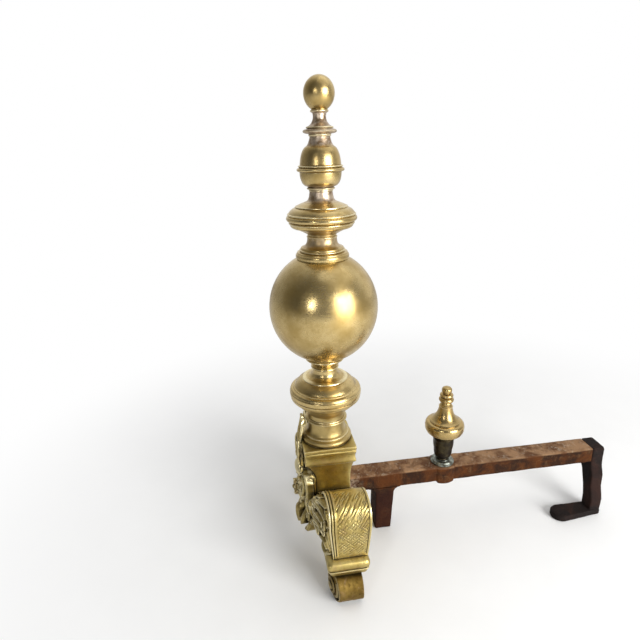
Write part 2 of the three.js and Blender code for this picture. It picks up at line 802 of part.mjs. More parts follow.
function legOutline() {
  const shape = new THREE.Shape();
  const shoulderX = (legInnerX + LEG.crestX) / 2;
  const shoulderHeight = (legCreaseHeight + LEG.crestHeight) / 2;
  shape.moveTo(legInnerX, BLOCK.bottomHeight);
  shape.quadraticCurveTo(LEG.pocketX, LEG.archHeight + LEG.reliefBevel,
    LEG.ankleInnerX, LEG.ankleHeight);
  shape.lineTo(LEG.ankleOuterX, LEG.ankleHeight);
  shape.quadraticCurveTo(LEG.outerX - 1, legOuterHeight - pocketHalfHeight,
    LEG.outerX, legOuterHeight);
  shape.quadraticCurveTo(LEG.outerX + 1, LEG.crestHeight, LEG.crestX, LEG.crestHeight);
  shape.quadraticCurveTo(LEG.pocketX, LEG.crestHeight, shoulderX, shoulderHeight);
  shape.quadraticCurveTo(shoulderX - pocketHalfHeight, legCreaseHeight,
    legInnerX, legCreaseHeight);
  shape.closePath();
  return shape;
}

function leafOutline() {
  const shape = new THREE.Shape();
  const inner = CARTOUCHE.shoulderHalfWidth + SEAT_GAP;
  const low = BLOCK.bottomHeight + LEG.leafInset;
  const outer = LEG.outerX - LEG.rim;
  const high = LEG.crestHeight - LEG.rim;
  shape.moveTo(inner, low);
  shape.quadraticCurveTo(LEG.pocketX, low + LEG.reliefBevel,
    LEG.ankleInnerX + LEG.reliefBevel, LEG.ankleHeight + SEAT_GAP);
  shape.lineTo(LEG.ankleOuterX - LEG.rim, LEG.ankleHeight + SEAT_GAP);
  shape.quadraticCurveTo(outer, low + LEG.reliefDepth, outer, legOuterHeight);
  shape.quadraticCurveTo(outer, high, LEG.crestX, high);
  shape.quadraticCurveTo(LEG.pocketX, high, inner, legCreaseHeight - SEAT_GAP);
  shape.closePath();
  return shape;
}

// Draws the leg's depth in towards the ankle.
function narrowedToAnkle(geometry) {
  const position = geometry.getAttribute('position');
  for (let i = 0; i < position.count; i += 1) {
    const height = position.getZ(i);
    const share = THREE.MathUtils.clamp(
      (height - LEG.ankleHeight) / (legOuterHeight - LEG.ankleHeight), 0, 1);
    const y = position.getY(i);
    const ankle = y < 0 ? LEG.ankleFront / LEG.front : LEG.ankleBack / LEG.back;
    position.setY(i, y * (ankle + (1 - ankle) * share));
  }
  return geometry;
}

function scrollLeg() {
  const band = frontExtrusion(legOutline(), -LEG.front, LEG.back, 0, 7);
  const leaf = frontExtrusion(leafOutline(), -LEG.front - LEG.reliefDepth, -LEG.front / 2,
    LEG.reliefBevel, 6);
  const pocket = lyingCylinder(1, LEG.back + LEG.front, 18);
  pocket.scale(LEG.pocketHalfWidth, 1, pocketHalfHeight);
  const pocketFront = -LEG.front + LEG.pocketFloor;
  const pocketMiddle = (pocketTop + pocketBottom) / 2;
  pocket.translate(LEG.pocketX, pocketFront + (LEG.back + LEG.front) / 2, pocketMiddle);
  return cut(narrowedToAnkle(joined(band, leaf)), pocket);
}

function ankleMoulding() {
  const { front, back, outerX, innerX, lip, height } = ANKLE;
  const top = LEG.ankleHeight;
  const level = (z, inset) => ({
    z, x: [innerX + inset, outerX - inset], y: [-front + inset, back - inset / 2],
  });
  return stacked([
    level(top - height, lip),
    level(top - height + lip / 2, lip / 2),
    level(top - height + lip * 2, lip / 3),
    level(top - lip * 2, 0),
    level(top - lip, lip / 3),
    level(top, lip * 1.5),
  ]);
}

function footScroll() {
  const top = LEG.ankleHeight - ANKLE.height;
  const centreZ = FOOT.rollRadius - FOOT.contactCut;
  const shape = new THREE.Shape();
  const joinAngle = Math.acos(-FOOT.neckReach / FOOT.rollRadius);
  const flatAngle = Math.asin(centreZ / FOOT.rollRadius);
  shape.moveTo(FOOT.rollX - FOOT.neckReach, top);
  shape.absarc(FOOT.rollX, centreZ, FOOT.rollRadius, joinAngle, Math.PI + flatAngle, false);
  shape.absarc(FOOT.rollX, centreZ, FOOT.rollRadius, 2 * Math.PI - flatAngle,
    2 * Math.PI + Math.PI / 3, false);
  shape.lineTo(ANKLE.outerX - ANKLE.lip * 2, top);
  shape.closePath();
  const roll = frontExtrusion(shape, -FOOT.front, FOOT.back, 0, 12);
  const eye = lyingCylinder(FOOT.eyeRadius, FOOT.front + FOOT.eyeHeight, 12);
  eye.translate(FOOT.rollX, -(FOOT.front + FOOT.eyeHeight) / 2, centreZ);
  return joined(roll, eye);
}

for (const [side, placed] of [['right', (g) => g], ['left', mirroredX]]) {
  addPiece(`scroll_leg_${side}`, placed(scrollLeg()), castBrass);
  addPiece(`ankle_moulding_${side}`, placed(ankleMoulding()), castBrass);
  addPiece(`foot_scroll_${side}`, placed(footScroll()), darkBrass);
}

// ---------------------------------------------------------------- cartouche and crest
function cartoucheOutline() {
  const half = CARTOUCHE;
  const bottomHeight = cartoucheTop - half.height;
  const waistHeight = cartoucheTop - half.waistDrop;
  const side = (sign) => ({
    top: [sign * half.topHalfWidth, cartoucheTop],
    shoulder: [sign * half.shoulderHalfWidth, cartoucheTop - half.shoulderDrop],
    waist: [sign * half.waistHalfWidth, waistHeight],
    lobe: [sign * half.lobeHalfWidth, cartoucheTop - half.lobeDrop],
  });
  const right = side(1);
  const left = side(-1);
  const shape = new THREE.Shape();
  shape.moveTo(...left.top);
  shape.lineTo(...right.top);
  shape.quadraticCurveTo(right.shoulder[0], cartoucheTop, ...right.shoulder);
  shape.quadraticCurveTo(right.shoulder[0], waistHeight, ...right.waist);
  shape.quadraticCurveTo(right.lobe[0], waistHeight, ...right.lobe);
  shape.quadraticCurveTo(right.lobe[0], bottomHeight + half.huskHalfHeight / 2,
    0, bottomHeight);
  shape.quadraticCurveTo(left.lobe[0], bottomHeight + half.huskHalfHeight / 2, ...left.lobe);
  shape.quadraticCurveTo(left.lobe[0], waistHeight, ...left.waist);
  shape.quadraticCurveTo(left.shoulder[0], waistHeight, ...left.shoulder);
  shape.quadraticCurveTo(left.shoulder[0], cartoucheTop, ...left.top);
  return shape;
}

function cartouche() {
  const back = BLOCK.waistFront;
  const face = back + CARTOUCHE.plateDepth;
  const topCut = blockTop - BLOCK.coveHeight;
  const plate = frontExtrusion(cartoucheOutline(), -face, -back, 0, 5);
  const boss = ellipsoid(CARTOUCHE.bossHalfWidth, CARTOUCHE.bossReach - face + 2,
    CARTOUCHE.bossHalfHeight, 0, -face + 2, cartoucheTop - CARTOUCHE.bossDrop);
  const roll = lyingCylinder(CARTOUCHE.rollRadius, 2 * CARTOUCHE.rollHalfLength, 12);
  roll.rotateZ(Math.PI / 2);
  roll.translate(0, -CARTOUCHE.rollReach, cartoucheTop - CARTOUCHE.rollRadius);
  const rollWeb = box(
    [-CARTOUCHE.rollHalfLength, CARTOUCHE.rollHalfLength],
    [-CARTOUCHE.rollReach, -face + 1],
    [cartoucheTop - 2 * CARTOUCHE.rollRadius, cartoucheTop - CARTOUCHE.rollRadius]);
  const husk = ellipsoid(CARTOUCHE.huskHalfWidth, CARTOUCHE.huskReach - face + 2,
    CARTOUCHE.huskHalfHeight, 0, -face + 2, cartoucheTop - CARTOUCHE.huskDrop, 12, 8);
  const buttonLength = CARTOUCHE.buttonReach - back;
  const button = lyingCylinder(CARTOUCHE.buttonRadius, buttonLength, 12);
  const buttonHeight = cartoucheTop - CARTOUCHE.buttonDrop;
  button.translate(CARTOUCHE.buttonX, -back - buttonLength / 2, buttonHeight);
  const acrossAll = [-PLINTH.halfWidth * 2, PLINTH.halfWidth * 2];
  const flareRoom = box(acrossAll, [-BLOCK.topFront - SEAT_GAP, 0], [topCut, blockTop]);
  const blockRoom = box(acrossAll, [-back, back], [0, blockTop]);
  const whole = joined(plate, boss, roll, rollWeb, husk, button, mirroredX(button));
  return cut(whole, flareRoom, blockRoom);
}

function crest() {
  const { halfWidth, waistHalfWidth, thickness } = CREST;
  const [bottomHeight, topHeight] = [crestBottom, crestTop];
  const frontOutline = new THREE.Shape();
  frontOutline.moveTo(-waistHalfWidth, bottomHeight);
  frontOutline.lineTo(waistHalfWidth, bottomHeight);
  frontOutline.lineTo(waistHalfWidth, plinthTop);
  for (let i = 0; i <= CREST.flutes * 2; i += 1) {
    const angle = (Math.PI * i) / (CREST.flutes * 2);
    const reach = (topHeight - plinthTop) - (i % 2) * CREST.fluteRise;
    const x = (halfWidth - (i % 2) * CREST.fluteRise) * Math.cos(angle);
    frontOutline.lineTo(x, plinthTop + CREST.fluteRise + (reach - CREST.fluteRise) * Math.sin(angle));
  }
  frontOutline.lineTo(-waistHalfWidth, plinthTop);
  frontOutline.closePath();
  const silhouette = frontExtrusion(frontOutline, -CREST.front - thickness, 0, 0, 2);
  const back = PLINTH.halfWidth;
  const freeBack = CREST.front - thickness;
  const clearHeight = plinthTop + FOOT_RING.torusHeight + FOOT_RING.filletHeight;
  const side = new THREE.Shape();
  side.moveTo(-back, bottomHeight);
  side.lineTo(-back, plinthTop - freeBack + back);
  side.lineTo(-freeBack, plinthTop);
  side.lineTo(-freeBack, clearHeight);
  side.quadraticCurveTo(-freeBack, topHeight - thickness, -CREST.topFront + thickness, topHeight);
  side.lineTo(-CREST.topFront, topHeight);
  side.quadraticCurveTo(-CREST.front, topHeight - 2 * thickness, -CREST.front, clearHeight);
  side.lineTo(-CREST.front, bottomHeight);
  side.closePath();
  const slab = new THREE.ExtrudeGeometry(side, {
    depth: 2 * halfWidth, bevelEnabled: false, curveSegments: 6,
  });
  slab.translate(0, 0, -halfWidth);
  slab.applyMatrix4(new THREE.Matrix4().set(
    0, 0, 1, 0,
    1, 0, 0, 0,
    0, 1, 0, 0,
    0, 0, 0, 1));
  const bow = uprightCylinder(CREST.bowRadius, 0, topHeight * 2, 2 * TURNED_STEPS);
  bow.translate(0, CREST.bowRadius - CREST.front, 0);
  return common(common(slab, silhouette), bow);
}

addPiece('front_cartouche', cartouche(), castBrass);
addPiece('crest_shell', crest(), castBrass);

// ---------------------------------------------------------------- forged iron
const barHalf = BAR_WIDTH / 2;

function billetBar() {
  const bar = box([-barHalf, barHalf], [-BAR_FRONT_REACH, BAR_REAR_REACH],
    [BAR_UNDERSIDE_HEIGHT, barTop]);
  const swelling = turned([
    ...at(0, BAR_UNDERSIDE_HEIGHT - BOSS.drop),
    ...sweep(BOSS.halfDepth / 2, BAR_UNDERSIDE_HEIGHT - BOSS.drop, BOSS.halfDepth,
      BAR_UNDERSIDE_HEIGHT + BOSS.drop, false),
    ...at(BOSS.halfDepth, barTop - BOSS.drop),
    ...at(BOSS.halfDepth - BOSS.drop / 2, barTop),
  ], 0, SMALL_TURNED_STEPS);
  swelling.scale(BOSS.halfWidth / BOSS.halfDepth, 1, 1);
  swelling.translate(0, LOG_STOP_Y, 0);
  const rodHole = uprightCylinder(boreRadius, rodBottom, rodTop);
  const pinHole = uprightCylinder(LOG_STOP_PIN.radius + LOG_STOP_PIN.clearance, rodBottom, rodTop);
  pinHole.translate(0, LOG_STOP_Y, 0);
  const wear = box([-BAR_WIDTH, BAR_WIDTH], [logSeatFront, BAR_REAR_REACH + SEAT_GAP],
    [wornBarTop, barTop + SEAT_GAP]);
  return cut(joined(bar, swelling), rodHole, pinHole, wear);
}

function stubLeg() {
  const x = [-barHalf, barHalf];
  const { front, topDepth, bottomDepth, filletRadius } = STUB;
  const filletTop = BAR_UNDERSIDE_HEIGHT;
  const curve = 3;
  const levels = [{ z: 0, x, y: [front, front + bottomDepth] }];
  for (let i = 0; i <= curve; i += 1) {
    const angle = (Math.PI / 2) * (i / curve);
    const spread = filletRadius * (1 - Math.cos(angle));
    const z = filletTop - filletRadius * (1 - Math.sin(angle));
    levels.push({ z, x, y: [front - spread, front + topDepth + spread] });
  }
  return stacked(levels);
}

function rearLeg() {
  const { depth, bendHeight, kneeHeight, kneeShare } = REAR_LEG;
  const { heelX, heelWidth, heelY, heelDepth } = REAR_LEG;
  const topX = [-barHalf, barHalf];
  const topY = [BAR_REAR_REACH, BAR_REAR_REACH + depth];
  const heelXs = [heelX - heelWidth / 2, heelX + heelWidth / 2];
  const heelYs = [heelY - heelDepth / 2, heelY + heelDepth / 2];
  const mix = (from, to) => from.map((v, i) => v + (to[i] - v) * kneeShare);
  return stacked([
    { z: REAR_FOOT.thickness, x: heelXs, y: heelYs },
    { z: kneeHeight, x: mix(topX, heelXs), y: mix(topY, heelYs) },
    { z: bendHeight, x: topX, y: topY },
    { z: wornBarTop, x: topX, y: topY },
  ]);
}

function rearFoot() {
  const { toeX, toeY, toeRadius, thickness } = REAR_FOOT;
  const heelBack = REAR_LEG.heelY + REAR_LEG.heelDepth / 2;
  const heelLow = REAR_LEG.heelX - REAR_LEG.heelWidth / 2;
  const heelHigh = REAR_LEG.heelX + REAR_LEG.heelWidth / 2;
  const plan = new THREE.Shape();
  plan.moveTo(heelHigh, heelBack);
  plan.lineTo(heelLow, heelBack);
  plan.lineTo(toeX - toeRadius, toeY);
  plan.absarc(toeX, toeY, toeRadius, Math.PI, 2 * Math.PI, false);
  plan.closePath();
  return new THREE.ExtrudeGeometry(plan, {
    depth: thickness, bevelEnabled: false, curveSegments: 10,
  });
}

addPiece('billet_bar', billetBar(), forgedIron);
addPiece('stub_leg', stubLeg(), forgedIron);
addPiece('rear_leg', rearLeg(), blackIron);
addPiece('rear_foot', rearFoot(), blackIron);

// ---------------------------------------------------------------- log stop
const pinBore = LOG_STOP_PIN.radius + LOG_STOP_PIN.clearance;
const flangeTop = barTop + FLANGE.height;
const stemTop = flangeTop + STEM.height;
const pinBottom = BAR_UNDERSIDE_HEIGHT - BOSS.drop - LOG_STOP_PIN.headHeight;
const pinTop = stemTop + LOG_STOP_PIN.depthInFinial;

function flange() {
  return turned([
    ...at(FLANGE.radius, barTop),
    ...at(FLANGE.radius, barTop + FLANGE.height / 2),
    ...at(FLANGE.topRadius, flangeTop),
  ], pinBore, SMALL_TURNED_STEPS);
}

function stem() {
  const waist = flangeTop + STEM.waistHeight;
  const barrel = flangeTop + STEM.barrelHeight;
  return turned([
    ...at(STEM.footRadius, flangeTop),
    ...sweep(STEM.footRadius, waist, STEM.barrelRadius, barrel, false),
    ...at(STEM.barrelRadius, (barrel + stemTop) / 2),
    ...at(STEM.topRadius, stemTop),
  ], pinBore, SMALL_TURNED_STEPS);
}

function logFinial() {
  const up = (height) => stemTop + height;
  const F = LOG_FINIAL;
  const body = turned([
    ...at(F.underRadius, stemTop),
    ...sweep(F.underRadius, stemTop, F.torusRadius, up(F.torusHeight), false),
    ...sweep(F.torusRadius, up(F.torusHeight), F.stepRadius, up(F.torusTopHeight), true),
    ...sweep(F.stepRadius - 1, up(F.torusTopHeight), F.bellFootRadius, up(F.bellFootHeight), false),
    ...sweep(F.bellFootRadius, up(F.bellFootHeight), F.bellTopRadius, up(F.bellTopHeight), false),
    ...sweep(F.bellTopRadius - 1, up(F.bellTopHeight), F.neckRadius, up(F.neckHeight), true),
    ...bead(F.neckRadius, F.knopRadius, up(F.neckHeight), up(F.waistHeight)),
    ...at(F.waistRadius, up(F.waistHeight)),
    ...sweep(F.waistRadius, up(F.waistHeight), F.buttonRadius,
      up((F.waistHeight + F.height) / 2), false, 3),
    ...sweep(F.buttonRadius, up((F.waistHeight + F.height) / 2), 0, up(F.height), true, 4),
  ], 0, SMALL_TURNED_STEPS);
  const socket = uprightCylinder(pinBore, stemTop - SEAT_GAP, pinTop + SEAT_GAP);
  return cut(body, socket);
}

function logPin() {
  const shank = uprightCylinder(LOG_STOP_PIN.radius, pinBottom, pinTop, 14);
  const headTop = BAR_UNDERSIDE_HEIGHT - BOSS.drop - SEAT_GAP;
  const head = uprightCylinder(LOG_STOP_PIN.headRadius, pinBottom, headTop, 14);
  return joined(shank, head);
}

const onBar = (geometry) => geometry.translate(0, LOG_STOP_Y, 0);
addPiece('log_stop_finial', onBar(logFinial()), polishedBrass);
addPiece('log_stop_stem', onBar(stem()), blackIron);
addPiece('log_stop_flange', onBar(flange()), greyMetal);
addPiece('log_stop_pin', onBar(logPin()), blackIron);

// ---------------------------------------------------------------- origin
// The frame's origin is on the floor, under the middle of the whole object's box.
const whole = new THREE.Box3().setFromObject(andiron);
andiron.position.y = -(whole.min.y + whole.max.y) / 2;

export default andiron;
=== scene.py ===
"""Antique ball andiron in turned and cast brass, with its forged iron log bar.

Sizes are millimetres about the column's axis (X to the side, Y towards the bar, Z up) and are
turned into metres in the frame when a piece is finished.
"""
import json
import math

import bpy
import bmesh
from mathutils import Matrix, Vector, noise

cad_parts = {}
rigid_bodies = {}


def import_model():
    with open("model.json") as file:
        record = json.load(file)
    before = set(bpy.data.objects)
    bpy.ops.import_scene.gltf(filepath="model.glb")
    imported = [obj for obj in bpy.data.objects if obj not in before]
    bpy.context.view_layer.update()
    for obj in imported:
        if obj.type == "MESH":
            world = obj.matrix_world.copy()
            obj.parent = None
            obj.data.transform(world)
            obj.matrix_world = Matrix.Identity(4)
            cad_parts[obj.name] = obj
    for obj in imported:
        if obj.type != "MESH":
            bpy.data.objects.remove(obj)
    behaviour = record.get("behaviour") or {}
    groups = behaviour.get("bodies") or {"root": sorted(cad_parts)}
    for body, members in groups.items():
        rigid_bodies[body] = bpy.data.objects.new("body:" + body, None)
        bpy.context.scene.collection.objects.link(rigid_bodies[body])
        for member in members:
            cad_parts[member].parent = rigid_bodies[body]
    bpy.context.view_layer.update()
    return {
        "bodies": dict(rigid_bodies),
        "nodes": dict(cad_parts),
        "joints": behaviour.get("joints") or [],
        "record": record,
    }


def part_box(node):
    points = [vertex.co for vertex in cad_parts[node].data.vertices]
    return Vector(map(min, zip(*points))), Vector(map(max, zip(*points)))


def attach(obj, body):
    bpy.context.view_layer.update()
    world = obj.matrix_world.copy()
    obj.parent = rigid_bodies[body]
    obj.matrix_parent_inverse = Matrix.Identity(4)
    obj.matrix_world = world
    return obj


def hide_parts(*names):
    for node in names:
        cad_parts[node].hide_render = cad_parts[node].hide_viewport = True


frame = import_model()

MM = 0.001
WELD = 0.004 * MM   # points closer than this are one
ball_low, ball_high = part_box("great_ball")
AXIS_Y = (ball_low.y + ball_high.y) / 2 / MM  # the column's axis in the frame, in millimetres
SMOOTH_ANGLE = math.radians(38)


def to_frame(point):
    """A point about the column's axis, in millimetres, as a point of the frame in metres."""
    return Vector((point[0] * MM, (point[1] + AXIS_Y) * MM, point[2] * MM))


def node_span(node):
    """Lowest and highest corner of a CAD node, in millimetres about the column's axis."""
    low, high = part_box(node)
    shift = Vector((0, AXIS_Y, 0))
    return low / MM - shift, high / MM - shift


def lerp(a, b, t):
    return a + (b - a) * t


def smooth(low, high, value):
    """0 below low, 1 above high, an even S in between."""
    t = min(max((value - low) / (high - low), 0.0), 1.0)
    return t * t * (3 - 2 * t)


def curve(start, control, end, steps):
    """Points of a quadratic curve, both ends included."""
    points = []
    for i in range(steps + 1):
        t = i / steps
        a, b, c = (1 - t) ** 2, 2 * t * (1 - t), t * t
        points.append(tuple(a * p + b * q + c * r for p, q, r in zip(start, control, end)))
    return points


def all_round(count):
    """Angles that divide a full turn evenly."""
    return [2 * math.pi * k / count for k in range(count)]


def linked(name, data):
    """A new object of the scene that holds the data."""
    made = bpy.data.objects.new(name, data)
    bpy.context.scene.collection.objects.link(made)
    return made


def wired(tree, kinds, wires):
    """Fills a tree with nodes of {name: type} and links of (node, output, node, input)."""
    nodes = {name: tree.nodes.new(kind) for name, kind in kinds.items()}
    for source, output, goal, entry in wires:
        tree.links.new(nodes[source].outputs[output], nodes[goal].inputs[entry])
    return nodes


# ---------------------------------------------------------------- sizes shared by the parts
BAR_LOW, BAR_HIGH = 68.6, 91.5   # the log bar's lower and upper face
BAR_HALF = 14.65                 # half of its width
BAR_FRONT, BAR_REAR = -16.0, 392.0
SLIP = 0.3                       # clearance between pieces that fit into each other

# ---------------------------------------------------------------- camera
PHOTO_SIZE = 640
FOCAL_PIXELS = 491.95
SENSOR_WIDTH = 36.0
CAMERA_PLACE = Vector((557.9, -88.6, 520.1))
CAMERA_PITCH = math.radians(19.75)   # downwards
CAMERA_YAW = math.radians(8.55)      # turned from -X towards +Y
CAMERA_ROLL = math.radians(-1.41)


def make_camera():
    cos_pitch = math.cos(CAMERA_PITCH)
    ahead = Vector((-math.cos(CAMERA_YAW) * cos_pitch, math.sin(CAMERA_YAW) * cos_pitch,
                    -math.sin(CAMERA_PITCH)))
    level = Vector((math.sin(CAMERA_YAW), math.cos(CAMERA_YAW), 0))
    upright = level.cross(ahead)
    right = level * math.cos(CAMERA_ROLL) + upright * math.sin(CAMERA_ROLL)
    up = upright * math.cos(CAMERA_ROLL) - level * math.sin(CAMERA_ROLL)
    data = bpy.data.cameras.new("photo_camera")
    data.sensor_width = SENSOR_WIDTH
    data.lens = SENSOR_WIDTH * FOCAL_PIXELS / PHOTO_SIZE
    data.clip_start = 0.01
    data.clip_end = 50
    camera = linked("photo_camera", data)
    turn = Matrix((right, up, -ahead)).transposed().to_4x4()
    camera.matrix_world = Matrix.Translation(to_frame(CAMERA_PLACE)) @ turn
    bpy.context.scene.camera = camera


make_camera()


# ---------------------------------------------------------------- shader expressions
class Value:
    """One output of a material's nodes. Arithmetic on it adds Math nodes."""

    def __init__(self, finish, socket):
        self.finish = finish
        self.socket = socket

    def math(self, operation, first, second):
        return self.finish.node("ShaderNodeMath", {"operation": operation}, {0: first, 1: second})

    def __add__(self, other):
        return self.math("ADD", self, other)

    __radd__ = __add__

    def __mul__(self, other):
        return self.math("MULTIPLY", self, other)

    __rmul__ = __mul__

    def __sub__(self, other):
        return self.math("SUBTRACT", self, other)

    def __rsub__(self, other):
        return self.math("SUBTRACT", other, self)

    def __truediv__(self, other):
        return self.math("DIVIDE", self, other)

    def __rtruediv__(self, other):
        return self.math("DIVIDE", other, self)

    def __pow__(self, other):
        return self.math("POWER", self, other)

    def between(self, low, high):
        """0 below low, 1 above high, and an even S in between; falls where low is above high."""
        return self.finish.node(
            "ShaderNodeMapRange", {"interpolation_type": "SMOOTHSTEP"},
            {"Value": self, "From Min": low, "From Max": high, "To Min": 0.0, "To Max": 1.0})


class Finish:
    """A procedural material read from Object coordinates."""

    def __init__(self, name):
        self.material = bpy.data.materials.new(name)
        self.material.use_nodes = True
        self.tree = self.material.node_tree
        self.tree.nodes.clear()
        self.principled = self.tree.nodes.new("ShaderNodeBsdfPrincipled")
        self.end = self.tree.nodes.new("ShaderNodeOutputMaterial")
        self.tree.links.new(self.principled.outputs[0], self.end.inputs["Surface"])
        self.place = self.node("ShaderNodeTexCoord", out="Object")

    def node(self, kind, settings=None, inputs=None, out=0):
        made = self.tree.nodes.new(kind)
        for name, value in (settings or {}).items():
            setattr(made, name, value)
        for name, value in (inputs or {}).items():
            self.join(value, made.inputs[name])
        return Value(self, made.outputs[out])

    def join(self, value, socket):
        if isinstance(value, Value):
            self.tree.links.new(value.socket, socket)
        else:
            socket.default_value = value

    def shade(self, **values):
        for name, value in values.items():
            self.join(value, self.principled.inputs[name.replace("_", " ").title()])
        return self

    def mix(self, a, b, factor):
        """Colour a where the factor is 0, colour b where it is 1."""
        return self.node("ShaderNodeMix", {"data_type": "RGBA"},
                         {0: factor, 6: colour_or_value(a), 7: colour_or_value(b)}, out=2)

    def noise(self, size, detail=3.0, roughness=0.55, stretch=(1, 1, 1), distortion=0.0):
        """Cloudy value of about 0 to 1 whose lumps are size millimetres wide."""
        return self.node("ShaderNodeTexNoise", None,
                         {"Vector": self.scaled(size, stretch), "Scale": 1.0, "Detail": detail,
                          "Roughness": roughness, "Distortion": distortion})

    def cells(self, size):
        """Distance to the nearest of scattered points about size millimetres apart."""
        return self.node("ShaderNodeTexVoronoi", None,
                         {"Vector": self.scaled(size), "Scale": 1.0})

    def scaled(self, size, stretch=(1, 1, 1)):
        factors = [1 / (size * MM * part) for part in stretch]
        return self.node("ShaderNodeVectorMath", {"operation": "MULTIPLY"},
                         {0: self.place, 1: factors})

    def axis(self, letter):
        return self.node("ShaderNodeSeparateXYZ", None, {0: self.place}, out=letter)

    def hollows(self, reach, inside=False):
        """1 deep in a crevice, 0 on open faces; reach is in millimetres."""
        open_share = self.node("ShaderNodeAmbientOcclusion", {"samples": 8, "inside": inside},
                               {"Distance": reach * MM}, out="AO")
        return 1.0 - open_share

    def edges(self, reach):
        """1 on a thin or sharp edge, 0 on broad faces: where a painted highlight goes, along with
        the rubbed wear of edges.
        """
        return self.hollows(reach, inside=True)

    def bump(self, height, depth):
        """Height of 0 to 1 as relief of that depth in millimetres."""
        return self.node("ShaderNodeBump", None,
                         {"Height": height, "Distance": depth * MM, "Strength": 1.0})

    def coats(self, colour, *layers):
        """The colour under layers of (colour, share), each over the ones before it."""
        for tint, share in layers:
            colour = self.mix(colour, tint, share)
        return colour


def linear(channel):
    if channel <= 0.04045:
        return channel / 12.92
    return ((channel + 0.055) / 1.055) ** 2.4


def rgba(colour):
    """A colour given in display values of 0 to 255, as Blender's linear values."""
    return tuple(linear(channel / 255) for channel in colour) + (1.0,)


def colour_or_value(value):
    return value if isinstance(value, Value) else rgba(value)


# ---------------------------------------------------------------- finishes
def column_brass():
    """Old polished brass: golden olive, cloudy, pinkish silver where the necks are rubbed dull."""
    f = Finish("column_brass")
    sideways = f.axis("X")
    backwards = f.axis("Y") - AXIS_Y * MM
    height = f.axis("Z")
    reach = (sideways * sideways + backwards * backwards) ** 0.5
    lower_neck = height.between(0.404, 0.410) * height.between(0.424, 0.420)
    middle_neck = height.between(0.457, 0.461) * height.between(0.480, 0.474)
    upper_neck = height.between(0.516, 0.520) * height.between(0.5535, 0.5505)
    neck = reach.between(0.0245, 0.0185) * (lower_neck * 0.5 + middle_neck + upper_neck)
    cloud = f.noise(38, 4, 0.6)
    grain = f.noise(5, 5, 0.65)
    blotch = f.noise(9, 4, 0.7, distortion=0.8)
    speck = f.noise(1.6, 3, 0.6)
    golden = f.mix((204, 181, 128), (174, 148, 92), cloud.between(0.35, 0.68))
    low = height.between(0.222, 0.206) * reach.between(0.075, 0.06)
    stop = reach.between(0.075, 0.09)
    golden = f.coats(golden, ((172, 145, 94), stop * 0.6), ((174, 154, 102), low * 0.6),
                     ((150, 124, 66), grain.between(0.52, 0.75) * 0.45))
    worn = f.mix((206, 190, 174), (128, 104, 86), blotch.between(0.38, 0.64))
    # Darker olive in the hollows, found by ambient occlusion: grime, and painted shade where the
    # crevices lie in shadow.
    grime_and_painted_shade = f.hollows(5).between(0.34, 0.85)
    # The near-white cream on thin edges is a painted highlight as well as the wear of rubbing.
    colour = f.coats(golden, (worn, neck * (0.5 + grain * 0.6)), ((84, 66, 26), grime_and_painted_shade * 0.5),
                     ((104, 82, 40), speck.between(0.68, 0.8) * 0.3),
                     ((244, 232, 190), f.edges(2.2).between(0.12, 0.42) * 0.75))
    scratch = f.noise(3, 3, 0.6, stretch=(9, 9, 0.35)).between(0.56, 0.7)
    rough = 0.23 + cloud.between(0.3, 0.75) * 0.1 + grain.between(0.45, 0.8) * 0.08
    rough = rough + neck * 0.12 + grime_and_painted_shade * 0.2 + scratch * 0.05 + low * 0.1
    relief = f.noise(9, 2) * 0.6 + speck * 0.14 + grain * 0.22 + scratch * 0.1
    f.shade(base_color=colour, metallic=1.0, roughness=rough, normal=f.bump(relief, 0.12))
    return f.material


def cast_brass(name, light, mid, dark, dullness=0.0, grime_and_shade_share=0.9):
    """Cast and chased brass: bright on its edges, from a painted highlight as well as rubbing, and
    olive and dark in the hollows, from painted shade as well as grime.
    """
    f = Finish(name)
    cloud = f.noise(24, 4, 0.6)
    grain = f.noise(4, 5, 0.65)
    skin = f.noise(1.1, 4, 0.7)
    patch = f.noise(12, 5, 0.7, distortion=0.8).between(0.5, 0.66)
    sideways = f.axis("X")
    carved = (AXIS_Y * MM - f.axis("Y")).between(0.0178, 0.0205)
    carved = carved * (sideways * sideways).between(0.0012, 0.0017)
    # Near black in the grooves of the carved front, found by ambient occlusion: painted shade, with
    # grime.
    groove_grime_and_shade = f.hollows(3).between(0.08, 0.4) * carved
    # Dark olive in the hollows, found by ambient occlusion: grime and painted shade.
    grime_and_painted_shade = f.hollows(8).between(0.1, 0.55)
    # Near-white cream on thin edges: a painted highlight as well as the wear of rubbing.
    edge = f.edges(2.0).between(0.1, 0.4)
    # Dark in the chased strokes and other fine cuts, found by ambient occlusion: painted shade,
    # with grime.
    chased = f.hollows(1.4).between(0.1, 0.34)
    colour = f.coats(
        f.mix(light, mid, cloud.between(0.35, 0.68)), (dark, grain.between(0.5, 0.74) * 0.5),
        ((176, 148, 112), patch * 0.35), ((150, 134, 84), carved * 0.6),
        ((40, 32, 14), groove_grime_and_shade * 0.9), ((46, 38, 16), grime_and_painted_shade * grime_and_shade_share),
        ((244, 232, 188), edge * (0.75 - dullness * 2)), ((60, 48, 19), chased * 0.9))
    rough = 0.32 + dullness + cloud * 0.1 + grain.between(0.4, 0.8) * 0.12 + grime_and_painted_shade * 0.3
    height = f.noise(7, 3) * 0.7 + skin * 0.25 + grain * 0.2
    pits = 1.0 - f.cells(3.6).between(0.02, 0.16)
    height = height - pits * (0.25 + dullness * 1.8)
    f.shade(base_color=colour, metallic=1.0, roughness=rough, normal=f.bump(height, 0.26))
    return f.material


